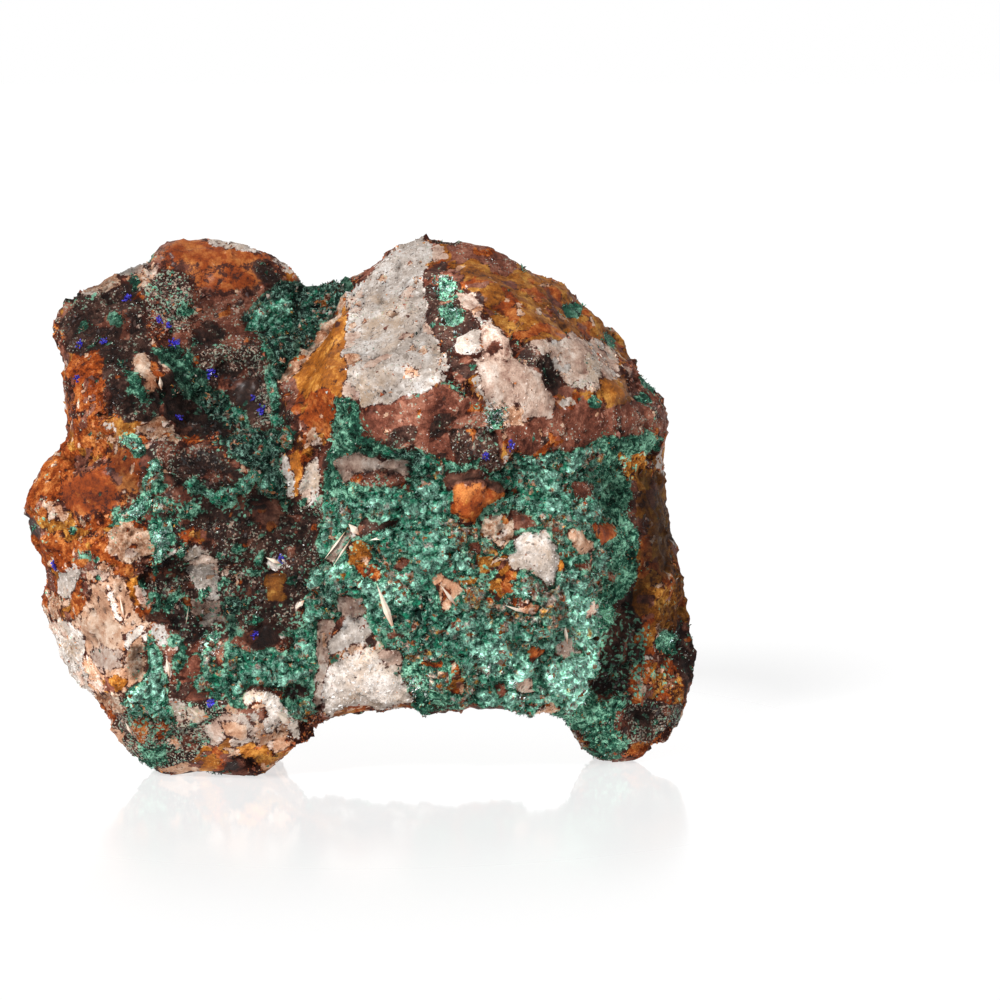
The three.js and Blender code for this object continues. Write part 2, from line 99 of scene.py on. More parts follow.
PATCHES = (
    # left lobe
    patch("maroon", (-45, 70.5), (-37, 72), (-33, 70.5), (-32.5, 64.5), (-30, 58.5), (-24, 54), (-25, 51),
          (-34.5, 51), (-38.5, 54), (-45, 64.5), shade=-0.4, frost=0.2),
    patch("maroon", (-27, 58.5), (-16, 58.5), (-10.5, 57), (-10, 48), (-24, 51), (-27.5, 54), shade=-0.15,
          frost=0.3),
    patch("maroon", (-26.5, 71.5), (-18, 70), (-15.5, 64.5), (-15, 56.5), (-21, 56), (-26.5, 60.5),
          shade=-0.25, frost=0.35),
    patch("redbrown", (-29, 73), (-21, 71.5), (-12, 73), (-16, 64), (-21, 63), (-25, 66), (-26, 70),
          shade=-0.4, soft=2.5),
    patch("rust", (-31, 75.5), (-27, 80), (-18, 80), (-12, 77), (-13, 74), (-18, 72.5), (-23.5, 72.5),
          (-28, 73.5), shade=-0.2, soft=2.5, calm=0.88),
    patch("rust", (-26.5, 74), (-12.5, 74), (-13, 71), (-17, 70), (-22, 69.5), (-25, 70.5), shade=-0.2,
          strength=0.8, soft=2.5, calm=0.9),
    patch("maroon", (-16.7, 74.8), (-14, 74.8), (-10.7, 71.4), (-13, 70.6), (-14.9, 72.1), shade=-0.65,
          soft=1),
    patch("quartz", (-25, 78.1), (-19, 80), (-13, 77.5), (-16.6, 76.6), (-21.1, 77.2), shade=0.1,
          lift=0.6),
    patch("quartz", (-37.6, 73.8), (-34.6, 75.8), (-32, 75), (-33.1, 73), (-36.1, 72.8), shade=-0.75,
          lift=0.4),
    patch("beige", (-43, 72), (-37, 74), (-36.5, 71.2), (-41.5, 70), shade=-0.45),
    patch("maroon", (-31.5, 73.5), (-27, 73.5), (-25, 70.5), (-25.5, 64.5), (-29.5, 64), (-32.5, 67.5),
          (-33, 70.5), shade=0.2, strength=0.8, frost=1.1, moss=0.5, soft=1.5),
    patch("rust", (-44, 61.5), (-39, 61.5), (-38.5, 51.5), (-43, 52)),
    patch("redbrown", (-44.5, 51), (-42.5, 57), (-40, 61.5), (-38, 58.5), (-38.5, 54), (-37.5, 51),
          (-39, 50), shade=0.45, strength=0.25),
    # Painted shade, partly dark ironstone: the dark hollow of the left lobe.
    patch("maroon", (-29.5, 57.5), (-27, 58.5), (-25.5, 55), (-17.5, 49.5), (-20.5, 48), (-27.5, 49.5),
          (-29, 52.5), shade=-0.85, frost=-0.4),
    patch("maroon", (-20.5, 57.5), (-15, 58), (-14, 54), (-15, 51), (-17.5, 51.5), shade=-0.65, frost=-0.3,
          calm=0.8),
    patch("maroon", (-20.5, 62.4), (-14.9, 62.4), (-14.6, 57.4), (-20, 57.4), shade=-0.25, frost=0.7),
    patch("malachite", (-31.5, 61.5), (-30, 62), (-25.5, 61.5), (-24.5, 59), (-22.5, 58.5), (-23.5, 56.5),
          (-19.5, 54.5), (-20, 52.5), (-18, 52.5), (-17, 50.5), (-19.5, 50), (-25, 53.5), shade=-0.45,
          sand=0.1),
    patch("malachite", (-27.5, 61), (-25.7, 61.3), (-25.1, 59.8), (-26.9, 58.9), shade=0),
    patch("malachite", (-19.3, 52.9), (-17.6, 52.6), (-16.7, 50.5), (-18.5, 50.4), shade=-0.3),
    patch("malachite", (-35.6, 58.9), (-34.4, 59.2), (-32.5, 55.9), (-32.2, 53.9), (-33.2, 53.9),
          (-35.3, 56.9), shade=0.2),
    patch("beige", (-34.3, 60.4), (-32.3, 60.9), (-30.5, 57.4), (-30.4, 55.4), (-32.2, 55.2),
          (-32.8, 57.1), (-34.1, 58.6), shade=-0.15, lift=0.8),
    patch("rust", (-31.7, 59.7), (-30.5, 59.2), (-29.2, 57.8), (-30.2, 57), (-31.4, 58.3), shade=0.3,
          lift=0.7),
    patch("beige", (-34.5, 49.5), (-30, 52.5), (-27.5, 49), (-28, 47), shade=-0.45, lift=0.4),
    patch("redbrown", (-30.2, 48), (-27.8, 47.5), (-23.5, 48.1), (-20.5, 47.2), (-23.5, 46.4), (-25, 43.9),
          (-28.4, 43.6), (-30.5, 45.9), shade=-0.6, frost=0.5),
    patch("maroon", (-24.2, 46.6), (-20.9, 45.9), (-17.5, 42.9), (-19, 41.7), (-22.4, 42.3), (-24.8, 43.4),
          shade=-0.85, calm=0.7),
    patch("ochre", (-19.7, 49.4), (-17.5, 49.6), (-16.7, 48.8), (-18.5, 48.1), shade=0.1),
    # left flank
    patch("rust", (-48, 49), (-40.5, 52), (-36, 48), (-35.5, 42), (-37.5, 34.5), (-46, 33), (-51, 38),
          (-50, 44), shade=0),
    patch("rust", (-45, 41.5), (-41.5, 44), (-37.5, 45), (-35.5, 42), (-36, 38.5), (-42, 36), (-45, 38),
          shade=-0.05, calm=0.9, soft=2),
    patch("rust", (-37.4, 47.2), (-34.1, 46.6), (-32.9, 43.4), (-33.8, 39.4), (-36.2, 40), (-37.4, 43.6),
          shade=-0.55, calm=0.8, soft=1.2),
    patch("beige", (-40.4, 49.6), (-35.5, 49.4), (-36.2, 47.2), (-39.8, 47.2), shade=-0.6, strength=0.3),
    patch("beige", (-47.5, 38.9), (-45.1, 38.9), (-44.5, 36), (-47, 36), lift=0.4),
    patch("rust", (-50, 33.5), (-38, 34), (-36, 30), (-40, 28), (-44, 20), (-50, 22), shade=0.1,
          frost=0.4),
    patch("beige", (-46, 23), (-41, 27), (-35, 27.5), (-32, 22), (-32, 12), (-37, 9), (-41, 9), (-46.5, 16),
          shade=0, calm=0.88, soft=1.5),
    patch("beige", (-37.5, 35), (-34.5, 35.5), (-31.5, 35), (-30, 32), (-31.5, 30), (-35, 30), (-38, 31),
          shade=-0.1),
    patch("quartz", (-45.5, 27.9), (-43.4, 29.1), (-41.6, 28.3), (-42.5, 26.6), (-44, 24.8), (-45.2, 25.3),
          shade=0.1),
    patch("rust", (-42.8, 26.6), (-40.4, 26.6), (-40.6, 24.1), (-41.9, 22.3), (-43.7, 21.1), (-45.2, 22.1),
          (-44, 23.8), shade=0),
    patch("beige", (-41.6, 28.6), (-38.5, 29.2), (-37.4, 27.9), (-40.7, 25.6), shade=0.1),
    patch("beige", (-47.3, 25.3), (-44.9, 24.8), (-45.2, 21.9), (-46.7, 21.4), shade=-0.15),
    patch("beige", (-38.5, 28.1), (-37.3, 27.4), (-35.6, 24.1), (-34.4, 19.9), (-35.3, 18.1),
          (-36.2, 22.6), (-37.7, 25.3), shade=0.15, calm=0.8),
    patch("ochre", (-35, 26.8), (-33.5, 27.1), (-32.9, 25.3), (-33.5, 23.2), (-34.7, 24.1), shade=1.3),
    patch("quartz", (-33.8, 25.6), (-32, 25.3), (-32.3, 24.1), (-33.5, 23.8), shade=0.4),
    patch("rust", (-34.4, 23.4), (-32, 22.6), (-31.7, 21.1), (-33.8, 21.4), shade=0),
    patch("beige", (-39, 25.5), (-38, 24.5), (-35.5, 18), (-38, 17), (-41.5, 18), (-42, 20), shade=-0.2,
          calm=0.97),
    patch("quartz", (-38.8, 26.2), (-37.9, 25.8), (-35.6, 20.8), (-36.1, 20.1), shade=1.5, lift=0.3,
          calm=0.9),
    patch("pink", (-40.4, 16.3), (-39.2, 17.1), (-35.5, 16.9), (-35.9, 14.2), (-39.1, 13.9), (-40.4, 15.1),
          shade=-0.35, calm=0.97),
    patch("quartz", (-35.3, 16.6), (-34.6, 19.6), (-33.7, 20.6), (-32.2, 19.2), (-32.3, 17.6),
          (-32.9, 17.8), (-33.4, 19.1), (-34.1, 18.4), (-34.6, 15.1), (-35.6, 12.2), shade=1, lift=0.5,
          calm=0.9),
    patch("quartz", (-47, 21), (-43.5, 21), (-41.5, 18), (-41.5, 14), (-39, 10.5), (-40.5, 9),
          (-46.5, 16.5), shade=0.35, calm=0.7),
    patch("beige", (-41.6, 16.3), (-40.4, 14.8), (-38.6, 13.3), (-38.9, 10.7), (-39.8, 10), (-41.6, 13.9),
          shade=0.65, calm=0.7),
    patch("beige", (-35, 16.9), (-32.9, 17.4), (-32.3, 14.4), (-33.8, 12.2), (-35.3, 13.3), shade=-0.75,
          moss=0.4),
    patch("ochre", (-39.2, 12.2), (-37.1, 13.3), (-35.3, 12.2), (-35.8, 10.2), (-38.5, 10), shade=0.6),
    patch("beige", (-40, 9.9), (-36.5, 9.8), (-34.7, 8.5), (-35.5, 6.8), (-38, 7.3), shade=-0.3),
    patch("maroon", (-37.4, 6.1), (-35.3, 6.8), (-33.8, 3.4), (-34.7, 2.9), (-36.5, 4.3), shade=0.3,
          frost=0.9),
    patch("quartz", (-35.3, 6.8), (-34.9, 6.8), (-34.1, 3.4), (-34.6, 3.1), shade=0.3),
    # left body
    patch("maroon", (-28.5, 46.5), (-18, 42), (-16.5, 40.5), (-6, 38.5), (-6.5, 30), (-8.5, 20), (-27, 18),
          (-31.5, 21), (-31.5, 28.5), (-28, 35.5), shade=-0.35, frost=0.35, moss=0.3),
    patch("redbrown", (-16.7, 39.1), (-12.5, 39.4), (-11.9, 35.9), (-14, 34.6), (-16.7, 35.9), shade=-0.75,
          calm=0.7, frost=-0.3),
    patch("maroon", (-23.6, 39.1), (-17.5, 39.1), (-18.2, 36.1), (-23.5, 36.1), shade=-0.65, calm=0.7,
          frost=0),
    patch("rust", (-27.5, 34.2), (-25.4, 35.2), (-23.3, 34.6), (-22.9, 33), (-24.5, 32.2), (-26.6, 32.7),
          shade=0.2, calm=0.8),
    patch("redbrown", (-26.9, 32.9), (-24.2, 32.5), (-21.8, 33.4), (-21.5, 32.2), (-24.2, 31.6),
          shade=-0.25),
    patch("quartz", (-26, 32), (-23.5, 32), (-22, 30), (-20.5, 23), (-22.5, 23), (-26, 28), (-26.5, 30),
          shade=-0.05, calm=0.75),
    patch("pink", (-25.7, 23.8), (-20.6, 23.8), (-20.3, 20.8), (-23.6, 20.2), (-25.7, 21.8), shade=-0.65,
          calm=0.7),
    patch("quartz", (-29, 31.9), (-28, 32.4), (-27.7, 31.2), (-28.7, 30.3), shade=0.3, lift=0.5),
    patch("redbrown", (-27.5, 28.5), (-24.8, 26.6), (-25.7, 25.6), (-27.8, 26.8), shade=-0.05),
    patch("redbrown", (-33.2, 22.3), (-29.5, 22.3), (-28.4, 20.8), (-31.7, 20.8), shade=-0.9),
    patch("maroon", (-31.4, 26.4), (-29.3, 27.1), (-28.4, 25.3), (-30.8, 24.4), shade=-0.15, frost=0.9),
    patch("maroon", (-15.8, 24.4), (-11, 23.6), (-11.6, 20.8), (-14.9, 20.8), shade=-0.15, frost=0.4),
    patch("ochre", (-14.3, 27.8), (-11.6, 28.1), (-10.9, 25.9), (-11.5, 23.6), (-14, 23.8), shade=-0.4,
          lift=0.5),
    patch("quartz", (-14, 29.7), (-12.7, 30.1), (-11.9, 28.6), (-13.1, 28.3), shade=0.3, lift=0.6),
    patch("quartz", (-11.8, 29.5), (-11, 30.3), (-10.9, 29.4), (-11.5, 28.9), shade=0.5, lift=0.5),
    patch("quartz", (-10.4, 22.8), (-8.9, 24), (-9.4, 22.8), (-10, 22.2), shade=0.5, lift=0.6),
    patch("beige", (-18.8, 28.3), (-17.8, 28.5), (-17.5, 26.6), (-18.5, 26.1), shade=-0.1),
    patch("pink", (-20.6, 30.1), (-19.4, 29.4), (-20, 28.1), (-21.2, 28.3), shade=0),
    patch("redbrown", (-18.8, 25.6), (-16.4, 25.9), (-16.4, 24.4), (-18.5, 24.4), shade=-0.75, frost=-0.4),
    patch("maroon", (-16.9, 20.1), (-13, 20.4), (-11.9, 18.4), (-13.7, 16.9), (-16, 16.5), (-17.2, 18.1),
          shade=-0.65, calm=0.7, frost=0),
    patch("malachite", (-20.3, 24.6), (-16.7, 24.1), (-16.9, 23.1), (-18.5, 22.6), (-19, 18.1),
          (-20.3, 18.1), shade=-0.85),
    patch("malachite", (-24.5, 23.7), (-24.2, 25.6), (-23, 26.7), (-22.7, 25.6), (-23.6, 23.7), shade=1.1),
    patch("malachite", (-22, 27.1), (-19.7, 27.6), (-19.4, 26.6), (-21.2, 26.1), shade=0.8),
    patch("malachite", (-31, 25.3), (-29.9, 25.3), (-29.9, 22.9), (-31.1, 23.2), shade=0),
    patch("malachite", (-29.8, 24.1), (-28.7, 25.1), (-27.5, 25.6), (-27.2, 24.6), (-28.4, 23.7),
          (-28.7, 22.3), (-29.8, 22.6), shade=0.6),
    patch("malachite", (-16.7, 22.3), (-15.8, 22.1), (-15.5, 20.2), (-16.4, 20.2), shade=0.4),
    # left foot
    patch("maroon", (-36, 9), (-20, 9), (-23.5, 0), (-32.5, -1.5), (-35.5, 2), shade=0.15, frost=0.9,
          moss=0.3),
    patch("malachite", (-36, 9), (-31.5, 6), (-28.5, 6.5), (-27, 3), (-31.5, 2.5), (-35, 5), shade=-0.2,
          strength=0.5, sand=0.6),
    patch("malachite", (-33.2, 1.9), (-29.5, 2.9), (-29.8, 1.3), (-28.9, -0.8), (-31.7, -0.6),
          (-33.5, 0.9), shade=0.2, sand=0.2),
    patch("rust", (-34.3, 5.8), (-32.8, 6.1), (-31.9, 3.9), (-33.2, 2.7), (-34.3, 3.8), shade=-0.35,
          lift=0.4),
    patch("rust", (-31, 5.8), (-29.8, 6.5), (-28.9, 5), (-29.5, 3.3), (-30.8, 3.4), shade=-0.05, lift=0.4),
    patch("beige", (-29, 2.9), (-27.8, 3.4), (-26.8, 2.4), (-27.8, 1.5), shade=0.6),
    patch("redbrown", (-26.8, 3.6), (-24.4, 3.6), (-24.7, 1.8), (-26.5, 1.8), shade=-0.2),
    patch("quartz", (-28.7, 9.2), (-26.9, 9.9), (-26.2, 7.9), (-26.8, 5.7), (-28.4, 6), shade=-0.15),
    patch("quartz", (-25.9, 7.9), (-23.9, 8.4), (-23.3, 6.5), (-24.4, 5.7), (-25.7, 6.9), shade=-0.1,
          lift=0.4),
    patch("pink", (-23.5, 4), (-22.5, 6), (-20.5, 7.5), (-18, 7), (-16.5, 5.5), (-16.5, 3), (-22.5, 1.5),
          shade=-0.15, lift=0.5, calm=0.95),
    patch("beige", (-20.8, 5.8), (-17.6, 6), (-16.7, 3.9), (-18.5, 2.9), (-20.3, 3.8), shade=0.15,
          calm=0.95),
    patch("ochre", (-26, 0.5), (-20, 3.5), (-19.5, 1.5), (-21, -1), (-23, -2), (-25, -1.5), shade=0.35,
          calm=0.8),
    patch("ochre", (-19.3, 2.2), (-16.7, 2.9), (-14.2, 2.5), (-13.7, 1.2), (-16, 0.3), (-18.2, 0.4),
          shade=1.3, calm=0.8),
    patch("beige", (-14.3, 3.4), (-11.6, 4.2), (-10.3, 3.4), (-11, 1.6), (-13.4, 1.3), shade=0.8,
          calm=0.8),
    patch("quartz", (-18, 10), (-16.5, 11), (-12.5, 10), (-9, 5), (-10.5, 4), (-15, 7.5), (-17.5, 8),
          shade=0.7, lift=0.7),
    patch("beige", (-16.9, 8.8), (-14.9, 8.8), (-14.3, 7.5), (-16.4, 7.5), shade=1),
    patch("rust", (-16.7, 7.3), (-14.9, 7), (-13.3, 6.1), (-14.9, 5.7), shade=0.05),
    patch("quartz", (-14.9, 6), (-12.8, 6.3), (-12.1, 5), (-13.7, 4.2), shade=0.9),
    patch("quartz", (-17.5, 7.3), (-16, 7), (-15.4, 5.5), (-16.9, 6), shade=-0.1),
    # Painted shade: a small dark hole.
    patch("maroon", (-11.3, 10.7), (-9.4, 12.2), (-8.6, 9.2), (-10.3, 8.5), shade=-0.8),
    # green of the left side
    # Painted shade: the valley between the lobes, darkened where shadow falls.
    patch("malachite", (-17, 66), (-14, 70), (-8.5, 72.5), (-2, 73), (-2, 70), (-8.5, 61.5), (-10.5, 57),
          (-14, 57), (-14.5, 62.5), shade=-0.85, sand=0),
    patch("malachite", (-18, 66.5), (-12.5, 72), (-8, 72), (-8, 69), (-10.5, 66.5), (-14, 64.5),
          (-16.5, 64.5), shade=-1.15, sand=0),
    patch("malachite", (-15.1, 64.3), (-14.2, 64), (-12.8, 60.1), (-12.1, 56.4), (-12.4, 52.6),
          (-11.8, 50.9), (-13.4, 49.6), (-14.8, 57.8), (-14, 59.2), (-15.1, 61.6), shade=0.15, sand=0),
    patch("maroon", (-15.5, 56.2), (-14, 56.5), (-13.7, 52.6), (-14, 50.5), (-15.8, 51.1), shade=-0.35,
          frost=1.2),
    patch("malachite", (-21, 48), (-16.5, 49.5), (-11.5, 50), (-10.5, 47), (-11.5, 44.5), (-11, 39),
          (-15, 40.5), (-18, 45), (-20, 46), shade=-0.85, sand=0.05),
    patch("malachite", (-11.6, 50.9), (-10.3, 50.4), (-10.4, 46.6), (-11.8, 46.6), shade=0.1, sand=0.3),
    patch("malachite", (-26, 42.5), (-24.5, 43), (-24, 41.5), (-22.5, 40.5), (-21, 40.5), (-17, 43),
          (-15.5, 42.5), (-17.5, 40.5), (-19, 40), (-19.5, 38), (-22, 38), (-23, 39.5), (-26, 41),
          shade=0.1, sand=0),
    patch("malachite", (-27.8, 37.4), (-25, 39.4), (-23.6, 37), (-25.7, 36), (-27.2, 36.1), shade=-0.25,
          sand=0),
    patch("malachite", (-36.8, 48.1), (-34.7, 48.9), (-32.8, 48.1), (-32.5, 46.6), (-33.5, 44.7),
          (-34.7, 46.4), shade=0.6, sand=0.1),
    patch("malachite", (-31.5, 45.5), (-30, 46), (-29.5, 43.5), (-30, 42), (-29, 41), (-31.5, 39.5),
          (-32.5, 37.5), (-34.5, 36), (-38, 35.5), (-37.5, 37), (-35, 38), (-33, 40), shade=0.8,
          sand=0.05),
    patch("malachite", (-31.7, 39.6), (-28.4, 39.9), (-28.1, 37.4), (-31.7, 36.8), shade=0.8, sand=0.6),
    patch("malachite", (-31.9, 36.1), (-30.2, 36.9), (-27.5, 36.3), (-28.4, 34.6), (-27.4, 33),
          (-29.6, 32.2), (-30.5, 27.6), (-31.4, 27.8), (-31.4, 31.9), shade=1, sand=0.05),
    patch("malachite", (-27.8, 31.9), (-26.3, 32.5), (-26.3, 30.8), (-27.2, 29.2), shade=1.3, sand=0.4,
          frost=1),
    patch("malachite", (-32, 19), (-30.5, 17.5), (-28.5, 9), (-29, 7), (-31.5, 6), (-34, 7), (-35, 9),
          (-35, 11.5), (-33, 12), (-31.5, 14), (-32.5, 16.5), shade=0.6, sand=0.12),
    patch("malachite", (-35.3, 9.2), (-32.5, 9.4), (-28.7, 9.2), (-28.4, 6.5), (-31.7, 5.5), (-34.7, 6.8),
          shade=0, sand=0.3),
    patch("quartz", (-29.5, 16.3), (-28.9, 16.6), (-28.4, 13.9), (-28.6, 11.7), (-29, 11.7), shade=0.6,
          lift=0.5),
    patch("malachite", (-29.6, 18.3), (-28.1, 19.6), (-26.6, 19.1), (-26.2, 16.6), (-26.8, 13.9),
          (-27.8, 12.8), (-28.3, 15.1), (-27.8, 17.4), (-29, 17.7), shade=0.2, sand=0.2),
    patch("maroon", (-29, 12.2), (-27.5, 12.9), (-26.3, 12.2), (-25.7, 10.7), (-26.6, 9.3), (-28.4, 9.8),
          shade=0.7),
    patch("malachite", (-27, 16), (-22.5, 16.5), (-21, 14), (-21, 10.5), (-24, 10), (-25.5, 11.5),
          (-23.5, 13), (-24, 15), shade=0, sand=0.8),
    patch("redbrown", (-26.3, 15.1), (-24.8, 15.9), (-23.8, 14.4), (-23.8, 12.6), (-25.4, 12.4),
          shade=0.1),
    patch("malachite", (-23.6, 17.2), (-22.6, 19.5), (-21.5, 18.4), (-22.9, 15.3), (-23.8, 15.8),
          shade=1.9, sand=0.1),
    patch("malachite", (-20.5, 18), (-16, 16), (-13.5, 17.5), (-12, 16), (-10.5, 16.5), (-9.5, 19.5),
          (-8, 21), (-6.5, 20), (-6, 14.5), (-6.5, 10.5), (-8.5, 9), (-9, 12), (-11.5, 10.5),
          (-16.5, 11.5), (-18, 9.5), (-17, 8), (-19, 8), (-20.5, 10), (-25, 11.5), (-23.5, 13),
          (-21, 13.5), shade=0.2, sand=0.05),
    patch("malachite", (-12.2, 9.2), (-9.2, 9.2), (-6.5, 10.7), (-5.5, 8.4), (-8.5, 5.8), (-10.4, 6.8),
          shade=0.1, sand=0.35),
    # boulder
    patch("ochre", (-12, 57.5), (-3, 67.5), (-1.5, 70.5), (-2.5, 53), (-11.5, 52), shade=0.25, calm=0.88,
          frost=0.35),
    # Painted shade: the dark wall of the valley under the boulder's edge.
    patch("malachite", (-15, 64.5), (-11.5, 64), (-6.5, 66), (-2.5, 69), (-9.5, 60), (-12, 58),
          (-12.5, 55.5), shade=-0.75, sand=0.08),
    patch("malachite", (-17.8, 65.1), (-14.9, 68.4), (-12, 69), (-9.5, 67.5), (-13.7, 65), (-16, 64.2),
          shade=0.25, sand=0),
    patch("rust", (-10, 55), (-4.5, 55.5), (-4, 49.5), (-6, 47), (-9, 47.5), shade=-0.15, calm=0.75),
    patch("beige", (-12.5, 57), (-1.5, 71), (-1.5, 69.5), (-4.5, 64.5), (-11.5, 56), shade=-0.1),
    patch("redbrown", (-11.6, 56.5), (-9.8, 57.1), (-9.5, 50.4), (-11, 49.6), shade=-0.3),
    patch("beige", (-9.2, 48.8), (-6.5, 49.4), (-5.9, 47.2), (-8.9, 46.9), shade=-0.35),
    patch("quartz", (-12.1, 46.4), (-10.7, 45.4), (-9.8, 42.4), (-9.7, 39.1), (-11, 39.8), (-11.9, 43),
          shade=-0.2),
    patch("ochre", (-11, 46), (-8.9, 46), (-8.6, 42.1), (-9.4, 39.3), (-10.3, 42.1), shade=0.55, calm=0.9),
    patch("quartz", (-8.3, 44.5), (-6.8, 46), (-6.1, 43.6), (-6.5, 39.1), (-8, 37.6), (-9.1, 40.4),
          shade=0.25, lift=0.3),
    patch("ochre", (11, 80), (16, 79.5), (33, 72), (36, 66.5), (41, 61), (38, 57), (33, 63), (25.5, 62.5),
          (20, 64.5), (18, 69), (13, 75), shade=-0.15, calm=0.78),
    patch("redbrown", (11, 80), (17, 79.5), (24, 77), (22, 73), (14, 75.5), shade=-0.1),
    patch("quartz", (-2, 70.5), (8, 79), (12, 76), (9, 73), (10.5, 67.5), (10.5, 63.5), (13, 61),
          (12, 56.5), (9, 55), (4.5, 54), (3.5, 52.5), (-2.5, 54), shade=-0.16),
    patch("quartz", (9.4, 54.4), (11.8, 56.5), (13.3, 60.8), (12.7, 61.6), (10.9, 58.3), (8.8, 55.9),
          shade=0.25),
    patch("maroon", (9, 73), (12, 75), (18, 69), (18, 62), (13, 61), (10.5, 63.5), shade=0.9, calm=0.7,
          frost=0.2),
    patch("maroon", (12.8, 60.9), (16.3, 61.3), (16.9, 58.6), (15.1, 56.5), (13.6, 57.4), shade=0.4,
          calm=0.7),
    patch("pink", (14.2, 70.7), (16.3, 70.4), (18.8, 65.9), (17.5, 65.9), shade=-0.1),
    patch("malachite", (11.2, 72), (12.2, 73.3), (13.7, 72.6), (14.2, 71), (13, 69), (11.6, 70.2),
          shade=1.6),
    patch("malachite", (11.8, 68), (13.6, 68.5), (15.2, 67.5), (14.8, 65.8), (12.8, 65.5), shade=0.1),
    patch("redbrown", (-0.5, 52.5), (12, 56.5), (18, 54), (21, 49.5), (21, 44), (6, 46), (-0.5, 48.5),
          shade=0.2, frost=0.15),
    patch("maroon", (13, 49.5), (19.5, 50), (21, 46.5), (21, 44), (14, 44.5), shade=0.05, frost=0.25),
    patch("redbrown", (21, 49.5), (29, 53), (44, 55), (47, 50), (45, 47), (24, 46), shade=0.14),
    patch("pink", (16.5, 60.5), (21, 61.5), (27, 58), (29.5, 54), (28.5, 51), (21.5, 52), (18, 55),
          shade=0.05, lift=0.5),
    patch("pink", (25.5, 62.5), (31.5, 64), (38, 61.5), (39, 57), (34.5, 55), (29.5, 57), shade=-0.1),
    patch("maroon", (26.3, 60.6), (27.5, 61.2), (30.2, 57.1), (29.6, 54.8), (28.1, 56.5), shade=-0.6,
          lift=-0.7),
    patch("quartz", (13.4, 62.7), (14.5, 63.6), (18.4, 65), (18.2, 62.4), (17, 61.4), (14.5, 61.4),
          shade=0.5, lift=0.8, calm=0.9),
    patch("pink", (18, 65.5), (19.5, 66), (21.5, 64), (22.5, 61.5), (21.5, 60), (17, 60), (18.5, 62),
          (17.5, 63), shade=0.55, lift=1, calm=0.7),
    patch("redbrown", (19, 62), (20.4, 62.4), (20.8, 61.2), (19.4, 60.8), shade=-0.2),
    patch("ochre", (35.9, 57), (39.5, 57.4), (40.4, 54), (36.5, 52.9), shade=0, lift=0.8),
    patch("beige", (6.4, 59.2), (8.8, 59.2), (8.8, 57.8), (7, 57.8), shade=0.7),
    patch("beige", (20.5, 52.9), (25, 52.9), (25.4, 50.5), (20.9, 50.5), shade=0.5),
    # Painted light: green under the boulder's overhang, lightened where the lamp doesn't reach.
    patch("malachite", (18.5, 52.4), (20.8, 53.5), (21.7, 51.4), (20.8, 49.6), (19, 50.5), shade=2.2),
    # the green field under the boulder
    patch("malachite", (-4, 54.5), (-0.5, 54), (0, 49), (6.5, 46), (21, 43.5), (24, 46), (33, 46.5),
          (37.5, 49), (44.5, 49), (44.5, 46.5), (39, 45.5), (40.5, 39), (40, 35.5), (41.5, 28.5),
          (37.5, 21.5), (37.5, 17), (34, 12), (39, 3), (36, 3), (30, 6), (21, 8.5), (8, 8), (3, 18),
          (-1.5, 22), (-6.5, 19.5), (-7.5, 15), (-9, 18), (-8.5, 24), (-6.5, 30), shade=0.25),
    patch("malachite", (-4, 54.5), (-1.5, 54), (-2.5, 48), (3.5, 46.5), (9, 46.5), (12, 45), (9, 42),
          (3, 45), (-3, 43.5), (-4.5, 48), shade=-0.25, sand=0),
    patch("malachite", (2.5, 45.9), (9.4, 46.4), (11.2, 42.9), (8.8, 41.9), (5.8, 44.5), shade=-0.6,
          sand=0),
    patch("malachite", (21, 44), (25.5, 46), (43.5, 48), (44, 46.5), (39, 45), (36, 39), (30, 38.5),
          (25.5, 40.5), (21.5, 40.5), shade=0.3, sand=0.12),
    patch("malachite", (17.5, 42.8), (21.5, 43.6), (22.6, 41.2), (19.6, 40.6), shade=-0.7, sand=0.1),
    patch("malachite", (8, 42), (12.5, 43.5), (13, 37.5), (12, 30), (9, 24), (6, 25.5), (6.5, 33), (6, 39),
          shade=0.3, sand=0.03),
    patch("pink", (-4.3, 45.1), (-1, 46.4), (4.3, 44.9), (7.6, 44.4), (7, 42.4), (1.6, 43.6), (-2.9, 42.1),
          shade=-0.6, lift=0.5),
    patch("redbrown", (-2.5, 42.4), (1.6, 43.6), (6.1, 43), (8.5, 39.1), (6.5, 40.9), (-0.2, 41.2),
          shade=-0.35, lift=0.4),
    patch("rust", (13.5, 42), (15, 43.5), (18, 43.5), (21.5, 40), (19.5, 39), (17, 35.5), (15, 35),
          (13.5, 37), shade=0.1, lift=0.9),
    patch("redbrown", (12.5, 42.4), (13.7, 43.6), (17.8, 43.6), (20.8, 41.5), (21.7, 40.2), (19.7, 40.8),
          (17.5, 42.3), (14.8, 42), (12.8, 40.4), shade=-0.6, lift=0.9),
    patch("malachite", (12, 36), (16.5, 35), (24, 37), (30, 36), (30.5, 32.5), (22.5, 30), (19.5, 26.5),
          (13.5, 32.5), shade=0.3, sand=0.9),
    patch("beige", (18.5, 36), (21, 37), (23, 36), (21.5, 31.5), (17.5, 34), shade=-0.3),
    patch("redbrown", (16.1, 33.1), (18.2, 33.1), (17.9, 31.2), (16.3, 31.5), shade=0.1),
    patch("ochre", (19.3, 30.8), (21.5, 30.6), (23.9, 29.8), (23.2, 27.1), (20.8, 27.1), (19.6, 28.6),
          shade=0.2),
    patch("malachite", (14, 26), (17, 27.5), (19.5, 27.5), (21, 26.5), (25.5, 27), (30, 25.5),
          (30.5, 22.5), (27, 20), (16.5, 23), shade=0, sand=1),
    patch("malachite", (22.1, 25.6), (24.1, 26.6), (25.7, 25.1), (24.8, 23.4), (22.7, 23.6), shade=0.7,
          sand=0),
